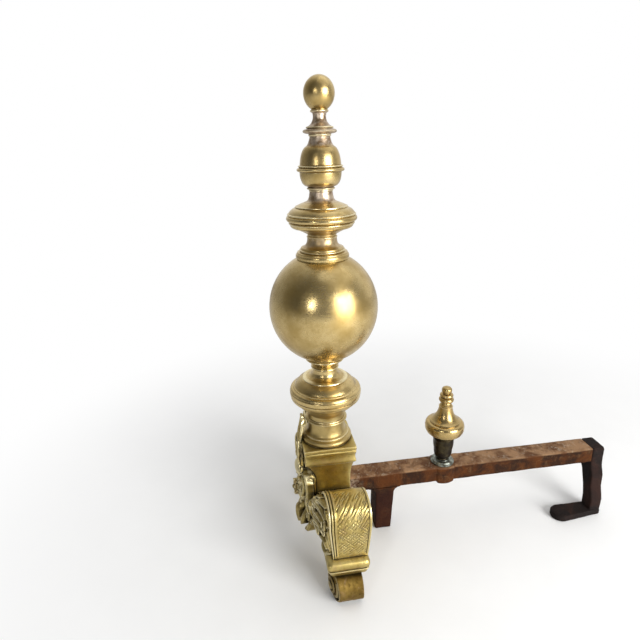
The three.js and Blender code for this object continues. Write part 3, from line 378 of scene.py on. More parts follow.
def forged_iron(name, rust, brown, pale, pale_share=0.5, top=None):
    """Hammered iron with a brown rust skin and pale scuffed scale; its top face, if its height
    is given in metres, is rubbed to a greyish brown by the logs."""
    f = Finish(name)
    cloud = f.noise(26, 5, 0.65, distortion=0.6)
    grain = f.noise(4.5, 5, 0.7)
    fine = f.noise(1.2, 4, 0.7)
    scuff = f.noise(13, 6, 0.75, distortion=1.2).between(0.52, 0.68)
    crust = (f.axis("Y") - AXIS_Y * MM).between(0.052, 0.026) * grain.between(0.45, 0.6)
    colour = f.coats(f.mix(brown, rust, cloud.between(0.38, 0.66)),
                     ((176, 156, 134), crust * 0.6),
                     (pale, scuff * (0.3 + grain * 0.7) * pale_share))
    if top is not None:
        rubbed = f.axis("Z").between(top - 0.003, top)
        worn = f.mix((162, 126, 92), (96, 66, 44), cloud.between(0.38, 0.62))
        worn = f.mix(worn, (196, 182, 160), scuff * grain.between(0.4, 0.6) * 0.7)
        sooty = f.axis("Z").between(top - 0.022, top - 0.034)
        colour = f.coats(colour, (worn, rubbed * (0.6 + fine * 0.5)), ((40, 13, 6), sooty * 0.75))
    colour = f.mix(colour, (28, 16, 12), grain.between(0.58, 0.76) * 0.6)
    rough = 0.64 + fine * 0.3
    height = cloud * 0.8 + grain * 0.7 + fine * 0.35
    f.shade(base_color=colour, metallic=0.0, roughness=rough, normal=f.bump(height, 0.8))
    f.principled.inputs["Specular IOR Level"].default_value = 0.16
    return f.material


def dark_bronze():
    """Blackened olive bronze of the log stop's stem."""
    f = Finish("dark_bronze")
    cloud = f.noise(9, 4, 0.6)
    grain = f.noise(2.2, 4, 0.65)
    colour = f.mix((66, 58, 38), (34, 26, 18), cloud.between(0.35, 0.62))
    colour = f.mix(colour, (104, 84, 54), grain.between(0.6, 0.78) * 0.5)
    f.shade(base_color=colour, metallic=0.85, roughness=0.3 + grain * 0.2,
            normal=f.bump(cloud + grain * 0.4, 0.25))
    return f.material


def grey_tarnish():
    """Grey-green tarnished metal of the log stop's flange."""
    f = Finish("grey_tarnish")
    cloud = f.noise(8, 4, 0.6)
    grain = f.noise(2.0, 4, 0.65)
    colour = f.mix((164, 170, 160), (84, 82, 72), cloud.between(0.35, 0.68))
    # Dark in the hollows, found by ambient occlusion: painted shade, with grime.
    colour = f.mix(colour, (40, 30, 22), f.hollows(5).between(0.25, 0.7) * 0.7)
    f.shade(base_color=colour, metallic=0.9, roughness=0.3 + grain * 0.25,
            normal=f.bump(cloud + grain * 0.5, 0.25))
    return f.material


COLUMN_BRASS = column_brass()
BASE_BRASS = cast_brass("base_brass", (198, 178, 114), (172, 150, 84), (112, 93, 42), 0.0, 0.6)
LEAF_BRASS = cast_brass("leaf_brass", (176, 158, 100), (142, 122, 66), (86, 70, 30), 0.03, 1.0)
FOOT_BRASS = cast_brass("foot_brass", (134, 110, 56), (102, 80, 36), (56, 40, 16), 0.24)
BAR_IRON = forged_iron("bar_iron", (80, 42, 10), (40, 21, 8), (116, 86, 54),
                       top=BAR_HIGH * MM)
BLACK_IRON = forged_iron("black_iron", (44, 26, 20), (26, 19, 17), (70, 56, 48), 0.3)
STEM_BRONZE = dark_bronze()
FLANGE_METAL = grey_tarnish()


# ---------------------------------------------------------------- finishing a piece
def as_piece(name, mesh, finish, nodes):
    """Links a finished mesh of the frame as a piece that rides with the object."""
    mesh.materials.clear()
    mesh.materials.append(finish)
    mesh.shade_smooth()
    mesh.set_sharp_from_angle(angle=SMOOTH_ANGLE)
    piece = linked(name, mesh)
    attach(piece, "root")
    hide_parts(*nodes)


class Casting:
    """Collects closed shells in millimetres and makes one piece of them."""

    def __init__(self):
        self.points = []
        self.faces = []

    def add(self, points, faces):
        start = len(self.points)
        self.points.extend(Vector(point) for point in points)
        self.faces.extend(tuple(start + index for index in face) for face in faces)

    def mirrored(self):
        """The same casting for the other side of the andiron."""
        other = Casting()
        other.points = [Vector((-p.x, p.y, p.z)) for p in self.points]
        other.faces = [tuple(reversed(face)) for face in self.faces]
        return other

    def rings(self, rings):
        """A closed skin over equal rings of points, with a face over the first and the last."""
        count = len(rings[0])
        last = (len(rings) - 1) * count
        faces = [(a + k, a + (k + 1) % count, a + count + (k + 1) % count, a + count + k)
                 for a in range(0, last, count) for k in range(count)]
        faces += [tuple(range(count - 1, -1, -1)), tuple(range(last, last + count))]
        self.add([point for ring in rings for point in ring], faces)

    def piece(self, name, finish, slot, nodes):
        mesh = bpy.data.meshes.new(name)
        mesh.from_pydata([to_frame(point) for point in self.points], [], self.faces)
        tidy = bmesh.new()
        tidy.from_mesh(mesh)
        bmesh.ops.remove_doubles(tidy, verts=tidy.verts, dist=WELD)
        bmesh.ops.triangulate(tidy, faces=[face for face in tidy.faces if len(face.verts) > 4])
        bmesh.ops.recalc_face_normals(tidy, faces=tidy.faces)
        tidy.to_mesh(mesh)
        tidy.free()
        as_piece(name, mesh, finish, nodes)


# ---------------------------------------------------------------- turned pieces
TURNED_FACETS = 120
SMALL_TURNED_FACETS = 80
PATH_RADIUS = 4.0   # radius of the circle that a profile is carried round


def node_group(name, inputs, result, kinds, wires):
    """A Geometry Nodes tree, and the identifiers of its inputs, given as {name: type}."""
    tree = bpy.data.node_groups.new(name, "GeometryNodeTree")
    face = tree.interface
    sockets = {label: face.new_socket(label, in_out="INPUT", socket_type="NodeSocket" + kind)
               for label, kind in inputs.items()}
    face.new_socket(result, in_out="OUTPUT", socket_type="NodeSocketGeometry")
    nodes = wired(tree, {"in": "NodeGroupInput", "real": "GeometryNodeRealizeInstances",
                         "paint": "GeometryNodeSetMaterial", "out": "NodeGroupOutput", **kinds},
                  wires + [("real", 0, "paint", "Geometry"), ("in", "Finish", "paint", "Material"),
                           ("paint", 0, "out", 0)])
    return tree, nodes, {label: socket.identifier for label, socket in sockets.items()}


def turning_lathe():
    """Node tree that carries a profile, drawn as a chain of edges, once round an axis."""
    tree, nodes, inputs = node_group(
        "turned_round",
        {"Profile": "Geometry", "Facets": "Int", "Path Radius": "Float", "Finish": "Material"},
        "Turned",
        {"circle": "GeometryNodeCurvePrimitiveCircle", "chain": "GeometryNodeMeshToCurve",
         "carry": "GeometryNodeCurveToMesh", "merge": "GeometryNodeMergeByDistance"},
        [("in", "Profile", "chain", 0), ("in", "Facets", "circle", "Resolution"),
         ("in", "Path Radius", "circle", "Radius"), ("circle", 0, "carry", "Curve"),
         ("chain", 0, "carry", "Profile Curve"), ("carry", 0, "merge", "Geometry"),
         ("merge", 0, "real", 0)])
    nodes["merge"].inputs["Distance"].default_value = WELD
    return tree, inputs


def fan_maker():
    """Node tree that sets copies of one petal round the Y axis, evenly over a sweep of angle."""
    tree, nodes, inputs = node_group(
        "fanned_round",
        {"Petal": "Geometry", "Count": "Int", "First Angle": "Float", "Angle Step": "Float",
         "Finish": "Material"},
        "Fan",
        {"places": "GeometryNodeMeshLine", "put": "GeometryNodeInstanceOnPoints",
         "number": "GeometryNodeInputIndex", "spread": "ShaderNodeMath",
         "shift": "ShaderNodeMath", "turn": "ShaderNodeCombineXYZ"},
        [("in", "Count", "places", "Count"), ("places", 0, "put", "Points"),
         ("in", "Petal", "put", "Instance"), ("number", 0, "spread", 0),
         ("in", "Angle Step", "spread", 1), ("spread", 0, "shift", 0),
         ("in", "First Angle", "shift", 1), ("shift", 0, "turn", "Y"),
         ("turn", 0, "put", "Rotation"), ("put", 0, "real", 0)])
    nodes["places"].inputs["Offset"].default_value = (0, 0, 0)
    nodes["spread"].operation = "MULTIPLY"
    nodes["shift"].operation = "ADD"
    return tree, inputs


LATHE = turning_lathe()
FAN = fan_maker()


def grown(name, mesh, maker, values):
    """The plain mesh that a node tree makes of a mesh; the values are those of its inputs."""
    tree, sockets = maker
    work = linked(name, mesh)
    modifier = work.modifiers.new(tree.name, "NODES")
    modifier.node_group = tree
    for label, value in values.items():
        modifier[sockets[label]] = value
    graph = bpy.context.evaluated_depsgraph_get()
    result = bpy.data.meshes.new_from_object(work.evaluated_get(graph))
    work.modifiers.clear()
    bpy.data.objects.remove(work)
    result.name = name
    return result


def sweep(r0, z0, r1, z1, rises_first, steps=12, fullness=1.0):
    """A quarter-round stretch that leaves its first point upwards, or else along the radius;
    fullness 0 is a straight cone."""
    corner = (r0, z1) if rises_first else (r1, z0)
    control = (lerp((r0 + r1) / 2, corner[0], fullness), lerp((z0 + z1) / 2, corner[1], fullness))
    return curve((r0, z0), control, (r1, z1), steps)


def arc(radius, half_height, centre_height, from_angle, to_angle, steps):
    """Points of a ball's outline; angles are counted from its lowest point."""
    angles = [lerp(from_angle, to_angle, i / steps) for i in range(steps + 1)]
    return [(radius * math.sin(a), centre_height - half_height * math.cos(a)) for a in angles]


def bead(neck, radius, z0, z1, steps=10):
    """A half-round bead that stands out from its neck."""
    return [(neck + r, h) for r, h in arc(radius - neck, (z1 - z0) / 2, (z0 + z1) / 2,
                                          0, math.pi, steps)]


def turned_piece(name, outline, finish, slot, on_floor=False, bore=0.0, centre_y=0.0,
                 facets=TURNED_FACETS, ring=False):
    """Turns an outline of (radius, height), listed upwards, about the axis. The heights start
    at the foot of the CAD node, or at the floor."""
    base = 0.0 if on_floor else foot_of(name)
    points = []
    for radius, height in outline:
        if not points or math.dist(points[-1], (radius, height)) > 0.02:
            points.append((max(radius, 0.0), height))
    if bore > 0:
        points = [(bore, points[0][1])] + points + [(bore, points[-1][1])]
    elif not ring:
        points = ([] if points[0][0] < 0.01 else [(0, points[0][1])]) + points
        points += [] if points[-1][0] < 0.01 else [(0, points[-1][1])]
    edges = [(i, i + 1) for i in range(len(points) - 1)]
    if bore > 0 or ring:
        edges.append((len(points) - 1, 0))
    chain = bpy.data.meshes.new(name + "_profile")
    chain.from_pydata([((r - PATH_RADIUS) * MM, -h * MM, 0) for r, h in points], edges, [])
    mesh = grown(name, chain, LATHE, {"Facets": facets, "Path Radius": PATH_RADIUS * MM,
                                      "Finish": finish})
    tidy = bmesh.new()
    tidy.from_mesh(mesh)
    bmesh.ops.remove_doubles(tidy, verts=tidy.verts, dist=WELD)
    bmesh.ops.dissolve_degenerate(tidy, dist=0.001 * MM, edges=tidy.edges)
    bmesh.ops.recalc_face_normals(tidy, faces=tidy.faces)
    bmesh.ops.translate(tidy, verts=tidy.verts, vec=to_frame((0, centre_y, base)))
    tidy.to_mesh(mesh)
    tidy.free()
    as_piece("turned_" + name, mesh, finish, [name])


def foot_of(node):
    return node_span(node)[0].z


ROD_BORE = 5.5   # of the tie rod in the column
PIN_BORE = 4.3   # of the pin in the log stop
BALL_RADIUS = 65.2
BALL_HALF_HEIGHT = 67.9
BALL_WALL = 2.6
BALL_HEIGHT = (ball_low.z + ball_high.z) / 2 / MM


def ball_seat(r0, r1, side, steps=10):
    """The hollow that a seat has for the ball, between two radii, as height over the floor."""
    radii = [lerp(r0, r1, i / steps) for i in range(steps + 1)]
    return [(r, BALL_HEIGHT + side * (BALL_HALF_HEIGHT + SLIP)
             * math.sqrt(1 - (r / (BALL_RADIUS + SLIP)) ** 2)) for r in radii]


def turn_column():
    brass = {"finish": COLUMN_BRASS, "slot": "column_brass"}
    seat = math.asin(8.6 / 16.7)
    turned_piece("top_finial", [
        (11.9, 0), (12.6, 0.5), *bead(13.0, 18.5, 0.7, 5.7), (13.3, 5.9),
        (14.5, 6.2), (15.0, 6.9), (14.4, 7.8), (13.0, 8.1),
        *sweep(12.7, 8.3, 7.2, 15.8, False, 12, 0.45), (7.0, 18.2), (7.5, 21.0),
        (8.3, 21.6), *bead(8.6, 9.9, 21.9, 24.5),
        *arc(16.7, 18.0, 25.0 + 18.0 * math.cos(seat), seat, math.pi, 44)],
        **brass)
    turned_piece("pear_knop", [
        (13.8, 0), *bead(14.0, 15.8, 0.2, 2.5), (14.0, 2.7), (14.8, 3.2),
        *sweep(15.0, 3.4, 23.3, 18.2, False, 14, 0.82), (23.3, 18.6), (22.7, 18.9),
        *bead(23.2, 26.5, 19.1, 23.5), (23.4, 23.7), (24.2, 24.1), *bead(24.0, 24.9, 24.2, 25.8, 6),
        (23.5, 26.1), (22.7, 26.3), *sweep(22.9, 26.6, 16.1, 45.2, True, 20, 0.6),
        (15.4, 45.5), (15.0, 46.2), *sweep(14.4, 46.4, 11.3, 54.6, False, 10, 0.3),
        (11.2, 55.3), (12.0, 55.7), (12.4, 56.5), (12.2, 57.4)],
        bore=ROD_BORE, **brass)
    turned_piece("disc_knop", [
        (15.8, 0), *bead(15.9, 16.9, 0.2, 1.5, 6), (17.4, 1.7),
        *sweep(17.8, 1.8, 30.4, 8.1, True, 8, 0.1), *sweep(30.4, 8.1, 36.4, 12.6, False, 8, 0.8),
        *bead(36.7, 37.7, 13.0, 15.2, 6), (36.4, 15.6), (37.9, 16.2),
        *bead(38.4, 40.4, 16.5, 22.0), (38.5, 22.2), (38.0, 22.6),
        *bead(38.2, 39.2, 22.9, 24.6, 6), (37.9, 24.8), (37.2, 25.2),
        *sweep(37.5, 25.4, 30.4, 31.0, True, 10, 0.35), (29.5, 31.3), (30.0, 31.7),
        (29.9, 32.5), (29.1, 32.9), *sweep(28.5, 33.0, 19.4, 36.8, True, 6, 0.1),
        *sweep(19.2, 37.0, 13.6, 44.0, False, 12, 0.75), (12.9, 48.0), (13.6, 49.2),
        (13.4, 50.3)], bore=ROD_BORE, **brass)
    low = ball_seat(30.8, 30.8, 1)[0][1]
    turned_piece("upper_ball_seat", [
        *ball_seat(ROD_BORE, 30.2, 1), (30.9, low + 0.2),
        *bead(30.4, 31.1, low + 0.4, low + 5.2, 8), (30.4, low + 5.5),
        (29.6, low + 6.2), *sweep(29.6, low + 6.5, 27.2, low + 8.0, True, 6),
        (26.2, low + 8.3), *bead(25.8, 26.7, low + 8.5, low + 10.5, 6), (25.2, low + 10.8),
        *sweep(25.2, low + 11.0, 22.8, low + 13.3, True, 6),
        *sweep(22.4, low + 13.6, 17.4, low + 20.0, False, 10, 0.6), (17.0, low + 23.0),
        (17.1, low + 23.8), *bead(16.8, 17.7, low + 24.0, low + 25.8, 6), (16.0, low + 26.7)],
        on_floor=True, bore=ROD_BORE, **brass)
    mouth = math.asin(ROD_BORE / BALL_RADIUS)
    inner = math.asin(ROD_BORE / (BALL_RADIUS - BALL_WALL))
    turned_piece("great_ball", [
        *arc(BALL_RADIUS, BALL_HALF_HEIGHT, BALL_HEIGHT, mouth, math.pi - mouth, 96),
        *arc(BALL_RADIUS - BALL_WALL, BALL_HALF_HEIGHT - BALL_WALL, BALL_HEIGHT,
             math.pi - inner, inner, 24)],
        on_floor=True, ring=True, facets=192, **brass)
    foot = foot_of("lower_ball_seat")
    turned_piece("lower_ball_seat", [
        (28.0, foot), (28.6, foot + 0.5), (28.3, foot + 1.3), (27.2, foot + 1.6),
        *sweep(26.8, foot + 1.7, 15.4, foot + 10.6, False, 14, 0.95), (15.1, foot + 12.8),
        (15.5, foot + 14.0), *bead(16.1, 17.5, foot + 14.3, foot + 16.6, 6), (16.2, foot + 16.9),
        *sweep(16.5, foot + 17.2, 22.6, foot + 25.6, True, 10, 0.35),
        *bead(22.9, 24.3, foot + 25.8, foot + 28.6, 8), (23.2, foot + 29.0),
        *ball_seat(22.4, ROD_BORE, -1)], on_floor=True, bore=ROD_BORE, **brass)
    turned_piece("vase_knop", [
        (23.2, 0), (23.6, 0.5), (23.3, 5.6), *sweep(23.6, 6.2, 35.3, 18.4, True, 10, 0.2),
        *sweep(35.6, 18.8, 41.6, 25.0, True, 6, 0.1), (41.9, 25.3), (41.0, 25.9), (42.3, 26.5),
        *sweep(42.4, 26.7, 44.7, 30.5, False, 6), (44.8, 30.8), (43.9, 31.4), (44.9, 32.0),
        *sweep(45.0, 32.2, 45.5, 37.0, False, 6), (45.3, 37.5), (44.4, 38.1), (45.1, 38.7),
        *sweep(45.0, 38.9, 41.4, 42.3, True, 8, 0.8), (40.8, 42.8), (40.6, 43.8),
        (39.2, 44.3), *sweep(38.9, 44.6, 30.8, 53.0, True, 12, 0.3), (30.4, 53.4), (29.5, 54.0)],
        bore=ROD_BORE, **brass)
    turned_piece("column_foot_ring", [
        (31.8, 0), *bead(29.6, 32.9, 0.1, 7.3), (28.6, 7.7), *bead(28.3, 29.3, 8.2, 10.2, 6),
        (27.8, 10.5), *sweep(27.6, 10.8, 24.2, 20.0, False, 12, 0.8), (24.0, 23.0),
        (24.2, 27.4), (25.2, 27.9), *bead(25.2, 27.2, 28.2, 31.5), (25.4, 31.8),
        (25.0, 32.5)], bore=ROD_BORE, **brass)


def turn_log_stop():
    small = {"facets": SMALL_TURNED_FACETS, "centre_y": LOG_STOP_Y}
    turned_piece("log_stop_finial", [
        (13.6, 0), (15.6, 0.2), *sweep(15.8, 0.5, 24.8, 5.4, False),
        *sweep(24.8, 5.4, 26.5, 11.6, False), *sweep(26.5, 11.6, 20.8, 18.8, True),
        (20.4, 19.2), (20.6, 20.2), (19.9, 21.0),
        *sweep(19.4, 21.2, 8.9, 40.0, False, fullness=0.5),
        (9.4, 40.8), (9.2, 42.0), (8.1, 42.6), (8.2, 43.6), (7.2, 44.6),
        *sweep(7.0, 44.8, 6.0, 48.0, True), *bead(6.6, 10.0, 48.4, 55.2), (7.8, 55.6),
        *bead(6.4, 9.0, 55.9, 60.6), (4.8, 61.2), (4.7, 62.0),
        *sweep(5.0, 62.3, 6.9, 65.8, False), *sweep(6.9, 65.8, 0, 70.5, True)],
        finish=COLUMN_BRASS, slot="column_brass", **small)
    turned_piece("log_stop_stem", [
        (7.4, 0), (7.8, 0.8), (7.2, 1.8), *sweep(7.4, 2.6, 12.6, 16.0, False),
        (13.7, 21.5), (14.1, 26.5), (13.9, 31.0), (14.4, 32.0), (14.4, 34.0),
        (13.5, 35.0), (13.3, 40.2), (12.8, 41.0)], finish=STEM_BRONZE,
        slot="black_iron", bore=PIN_BORE, **small)
    turned_piece("log_stop_flange", [
        (15.2, 0), (16.0, 0.6), (16.1, 2.4), (15.2, 3.0), (15.2, 3.6),
        *sweep(14.6, 3.7, 10.4, 5.4, True, 6), (9.6, 5.5), (9.4, 6.0)],
        finish=FLANGE_METAL, slot="flange_metal", bore=PIN_BORE, **small)


LOG_STOP_Y = (node_span("log_stop_flange")[0].y + node_span("log_stop_flange")[1].y) / 2
turn_column()
turn_log_stop()


# ---------------------------------------------------------------- cast ornament
def eased_path(points, steps):
    """A smooth run of steps + 1 samples through points that hold any number of values."""
    samples = []
    last = len(points) - 1
    for i in range(steps + 1):
        u = i / steps * last
        k = min(int(u), last - 1)
        t = u - k
        p0, p1, p2, p3 = (points[min(max(k + j, 0), last)] for j in (-1, 0, 1, 2))
        samples.append([
            0.5 * (2 * b + (c - a) * t + (2 * a - 5 * b + 4 * c - d) * t * t
                   + (3 * b - a - 3 * c + d) * t ** 3)
            for a, b, c, d in zip(p0, p1, p2, p3)])
    return samples


def blade(casting, points, base_y, rise=2.6, vein=0.9, lobes=0, steps=None):
    """A carved leaf along points of (x, y, z, half width), which reaches back to base_y."""
    steps = steps or 6 * (len(points) - 1)
    shares = [-1, -0.86, -0.62, -0.36, -0.16, 0, 0.16, 0.36, 0.62, 0.86, 1]
    path = eased_path(points, steps)
    rings = []
    for i, (x, y, z, width) in enumerate(path):
        before, after = path[max(i - 1, 0)], path[min(i + 1, steps)]
        run = Vector((after[0] - before[0], 0, after[2] - before[2])).normalized()
        side = Vector((run.z, 0, -run.x))
        t = i / steps
        if lobes:
            width *= 1 + 0.16 * math.cos(2 * math.pi * lobes * t)
        width = max(width, 0.25)
        lift = min(rise, width * 0.8)
        ring = [Vector((x, base_y, z)) + side * -width * 0.8]
        for share in shares:
            dip = vein * math.exp(-(share / 0.13) ** 2) * min(width / 4, 1)
            fold = 0.45 * vein * math.exp(-((abs(share) - 0.62) / 0.1) ** 2) * min(width / 4, 1)
            depth = lift * abs(share) ** 2.2 + dip + fold
            ring.append(Vector((x, y + depth, z)) + side * width * share)
        ring.append(Vector((x, base_y, z)) + side * width * 0.8)
        rings.append(ring)
    casting.rings(rings)


def tube(casting, points, sides=12, steps=None):
    """A round moulding along points of (x, y, z, radius)."""
    steps = steps or 8 * (len(points) - 1)
    path = eased_path(points, steps)
    places = [Vector(p[:3]) for p in path]
    rings = []
    up = Vector((0, -1, 0))
    for i, place in enumerate(places):
        run = (places[min(i + 1, steps)] - places[max(i - 1, 0)]).normalized()
        side = run.cross(up).normalized()
        up = side.cross(run).normalized()
        radius = max(path[i][3], 0.15)
        rings.append([place + (side * math.cos(a) + up * math.sin(a)) * radius
                      for a in all_round(sides)])
    casting.rings(rings)


def volute(casting, x, z, y, reach, turns, thickness, rise, start=0.0, hand=1, per_turn=26):
    """A snail scroll that winds inwards and rises towards the front, with a button in its eye."""
    steps = int(turns * per_turn)
    points = []
    for i in range(steps + 1):
        t = i / steps
        angle = start + hand * 2 * math.pi * turns * t
        share = 1 - 0.86 * t
        radius = reach * share
        points.append((x + radius * math.cos(angle), y - rise * (1 - share * share),
                       z + radius * math.sin(angle), thickness * (1 - 0.55 * t)))
    tube(casting, points, sides=10, steps=steps)
    dome(casting, x, y - rise, z, reach * 0.24, reach * 0.24, thickness * 0.9, y + thickness, 14, 5)


def dome(casting, x, front_y, z, half_x, half_z, lift, base_y, around=28, up=8):
    """A rounded boss whose foot is a straight wall back to base_y."""
    levels = [(1.0, base_y)]
    for i in range(up + 1):
        angle = math.pi / 2 * i / up * 0.97
        levels.append((math.cos(angle), front_y + lift * (1 - math.sin(angle))))
    rings = [[Vector((x + half_x * share * math.cos(a), y, z + half_z * share * math.sin(a)))
              for a in all_round(around)] for share, y in levels]
    casting.rings(rings)


def fanned(casting, petal, count, first, step, x, z):
    """Adds copies of a petal, drawn upwards from the origin, turned about (x, z)."""
    mesh = bpy.data.meshes.new("petal")
    mesh.from_pydata([point * MM for point in petal.points], [], petal.faces)
    fan = grown("petal_fan", mesh, FAN, {"Count": count, "First Angle": first,
                                         "Angle Step": step, "Finish": BASE_BRASS})
    shift = Vector((x, 0, z))
    casting.add([vertex.co / MM + shift for vertex in fan.vertices],
                [tuple(face.vertices) for face in fan.polygons])


# ---------------------------------------------------------------- moulded blocks
def rounded_ring(x0, x1, y0, y1, z, radius, corner, along):
    """A level ring of points round a rectangle with rounded corners."""
    radius = max(min(radius, (x1 - x0) / 2 - 0.01, (y1 - y0) / 2 - 0.01), 0.01)
    turns = [(x1 - radius, y0 + radius, -90), (x1 - radius, y1 - radius, 0),
             (x0 + radius, y1 - radius, 90), (x0 + radius, y0 + radius, 180)]
    ring = []
    for k, (cx, cy, start) in enumerate(turns):
        for i in range(corner + 1):
            angle = math.radians(start + 90 * i / corner)
            ring.append(Vector((cx + radius * math.cos(angle), cy + radius * math.sin(angle), z)))
        nx, ny, after = turns[(k + 1) % 4]
        angle = math.radians(after)
        goal = Vector((nx + radius * math.cos(angle), ny + radius * math.sin(angle), z))
        here = ring[-1].copy()
        ring.extend(here.lerp(goal, i / along) for i in range(1, along))
    return ring


SMOOTH_END = (0.02, 0.35, 0.7, 0.94)   # sizes of the smaller rings that close an end
ROUGH_END = (0.03, 0.5)


def capped(rings, shares):
    """The rings, with ever smaller copies of the first and the last one closing the ends."""
    ends = []
    for ring in (rings[0], rings[-1]):
        middle = sum(ring, Vector()) / len(ring)
        ends.append([[middle.lerp(point, share) for point in ring] for share in shares])
    return ends[0] + rings + ends[1][::-1]


def moulded_block(casting, levels, corner=4, along=14, wobble=0.14, grain=11):
    """Stacks levels of (z, x0, x1, y0, y1, corner radius), listed upwards."""
    rings = [rounded_ring(x0, x1, y0, y1, z, radius, corner, along)
             for z, x0, x1, y0, y1, radius in levels]
    rings = capped(rings, SMOOTH_END)
    for ring in rings:
        for point in ring:
            point += noise.noise_vector(point / grain) * wobble
    casting.rings(rings)


def cut_out(rough, *tools):
    """Cuts closed castings out of a casting, and gives what is left as one."""
    def as_object(casting, name):
        mesh = bpy.data.meshes.new(name)
        mesh.from_pydata([point * MM for point in casting.points], [], casting.faces)
        fix = bmesh.new()
        fix.from_mesh(mesh)
        bmesh.ops.recalc_face_normals(fix, faces=fix.faces)
        fix.to_mesh(mesh)
        fix.free()
        return linked(name, mesh)

    body = as_object(rough, "rough")
    cutters = [as_object(tool, "cutter") for tool in tools]
    for cutter in cutters:
        cut = body.modifiers.new("cut", "BOOLEAN")
        cut.operation = "DIFFERENCE"
        cut.solver = "EXACT"
        cut.object = cutter
    graph = bpy.context.evaluated_depsgraph_get()
    mesh = bpy.data.meshes.new_from_object(body.evaluated_get(graph))
    body.modifiers.clear()
    for made in [body] + cutters:
        bpy.data.objects.remove(made)
    left = Casting()
    left.add([vertex.co / MM for vertex in mesh.vertices],
             [tuple(face.vertices) for face in mesh.polygons])
    return left


def cast_plinth_and_block():
    plinth = Casting()
    profile = [(131.0, 31.6), (131.3, 32.6), (132.0, 33.2), (133.4, 33.4), (135.0, 33.2),
               (137.0, 32.8), (139.4, 32.5), (141.6, 32.5), (143.4, 32.8), (144.6, 33.3),
               (145.6, 33.6), (147.0, 33.8), (148.4, 33.7), (149.0, 33.2), (149.4, 33.1),
               (149.9, 33.9), (151.0, 34.0), (153.2, 34.0), (154.0, 33.8), (154.5, 33.0)]
    moulded_block(plinth, [(z, -h, h, -h, h, 1.6) for z, h in profile], wobble=0.16)
    moulded = cut_out(plinth, box_tool((-14, 14), (-14, 14), (130, 149.5)))
    moulded.piece("cast_plinth", BASE_BRASS, "base_brass", ["plinth"])
    block = Casting()
    levels = [(58.0, 25.2, 18.2, 27.0), (58.9, 26.0, 19.0, 27.0), (75.0, 26.0, 19.0, 27.0),
              (95.0, 26.0, 19.0, 27.0)]
    for i in range(19):
        share = i / 18
        flare = share ** 2.3
        levels.append((101 + 28.6 * share, lerp(26, 31.0, flare), lerp(19, 30.4, flare),
                       lerp(27.0, 30.4, flare)))
    levels += [(130.2, 31.4, 30.8, 30.8), (131.0, 31.0, 30.4, 30.4)]
    moulded_block(block, [(z, -half, half, -front, rear, 1.3) for z, half, front, rear in levels])
    slot = box_tool((-BAR_HALF - SLIP, BAR_HALF + SLIP), (BAR_FRONT - SLIP, 40),
                    (BAR_LOW - SLIP, BAR_HIGH + SLIP))
    recess = Casting()
    recess.rings([[Vector((17 * math.cos(a), 17 * math.sin(a), z)) for a in all_round(32)]
                  for z in (50, 91)])
    cut_out(block, slot, recess).piece("cast_base_block", BASE_BRASS, "base_brass", ["base_block"])


def box_tool(xs, ys, zs):
    tool = Casting()
    corners = ((0, 0), (1, 0), (1, 1), (0, 1))
    tool.rings([[Vector((xs[i], ys[k], z)) for i, k in corners] for z in zs])
    return tool


# ---------------------------------------------------------------- scroll legs
LEG_FRONT, LEG_BACK = -18.0, 32.0
ANKLE_FRONT, ANKLE_BACK = -13.4, 28.8
ANKLE_TOP = 59.5
SHOULDER_HEIGHT = 106.0
POCKET_X, POCKET_Z = 76.0, 92.0   # middle of the hollow in the leg's front


def bend(p0, control, p1, steps):
    """Points of a quadratic curve, without its last one."""
    return curve(p0, control, p1, steps)[:-1]


def leg_outline():
    """The leg's outline seen from the front, and how far each point lies down its band."""
    inner = 26.3
    under = bend((inner, 58), (76, 67.6), (95, ANKLE_TOP), 30)
    under += bend((95, ANKLE_TOP), (105, ANKLE_TOP), (115.5, ANKLE_TOP), 8)
    band = bend((115.5, ANKLE_TOP), (119, 86), (120, SHOULDER_HEIGHT), 66)
    band += bend((120, SHOULDER_HEIGHT), (121, 132), (98, 132), 60)
    band += bend((98, 132), (76, 132), (62.15, 109), 60)
    band += bend((62.15, 109), (42.15, 86), (inner, 86), 60)
    band += [(inner, 86)]
    wall = [(inner, 80), (inner, 72), (inner, 64)]
    run, down = 0.0, []
    for i, point in enumerate(band):
        run += math.dist(point, band[i - 1]) if i else 0.0
        down.append(run)
    return under + band + wall, [None] * len(under) + down + [None] * len(wall), run


def chased_depth(along, y):
    """Depth of the chaser's hair strokes at a place on the band, in millimetres."""
    depth = 0.0
    for bearing, spacing, bow, share, first, last in (
            (0.74, 3.9, 0.010, 0.85, 4, 88), (0.52, 3.4, -0.004, 0.55, 30, 96),
            (2.3, 3.4, 0.0, 0.5, 14, 56)):
        across = y * math.cos(bearing) - along * math.sin(bearing)
        across += bow * (along - 45) ** 2 * 0.35
        forward = y * math.sin(bearing) + along * math.cos(bearing)
        lane = math.floor(across / spacing)
        off = across / spacing - lane - 0.5
        start = noise.noise(Vector((lane * 3.17, bearing * 9, 0.5))) * 26
        phase = (forward + start) / 17
        beat = phase - math.floor(phase)
        if noise.noise(Vector((lane * 1.7, math.floor(phase) * 2.3, bearing))) < 0.35 - share:
            continue
        taper = smooth(0.0, 0.14, beat) * (1 - smooth(0.72, 0.95, beat))
        fade = smooth(first - 3, first + 3, along) * (1 - smooth(last - 5, last + 5, along))
        cut = math.exp(-(off / 0.15) ** 2)
        depth = max(depth, 0.8 * cut * taper * fade)
    return depth


def scale_depth(along, y, length):
    """Depth of the nested arcs that are chased beside the crease at the top of the band."""
    down = length - along
    depth = 0.0
    for middle in (-2.0, 11.0):
        reach = math.hypot(y - middle, (down - 37) * 0.9)
        if reach < 8.5 and down < 44:
            ring = reach / 2.1
            depth = max(depth, 0.4 * math.exp(-((ring - round(ring)) / 0.24) ** 2))
    return depth


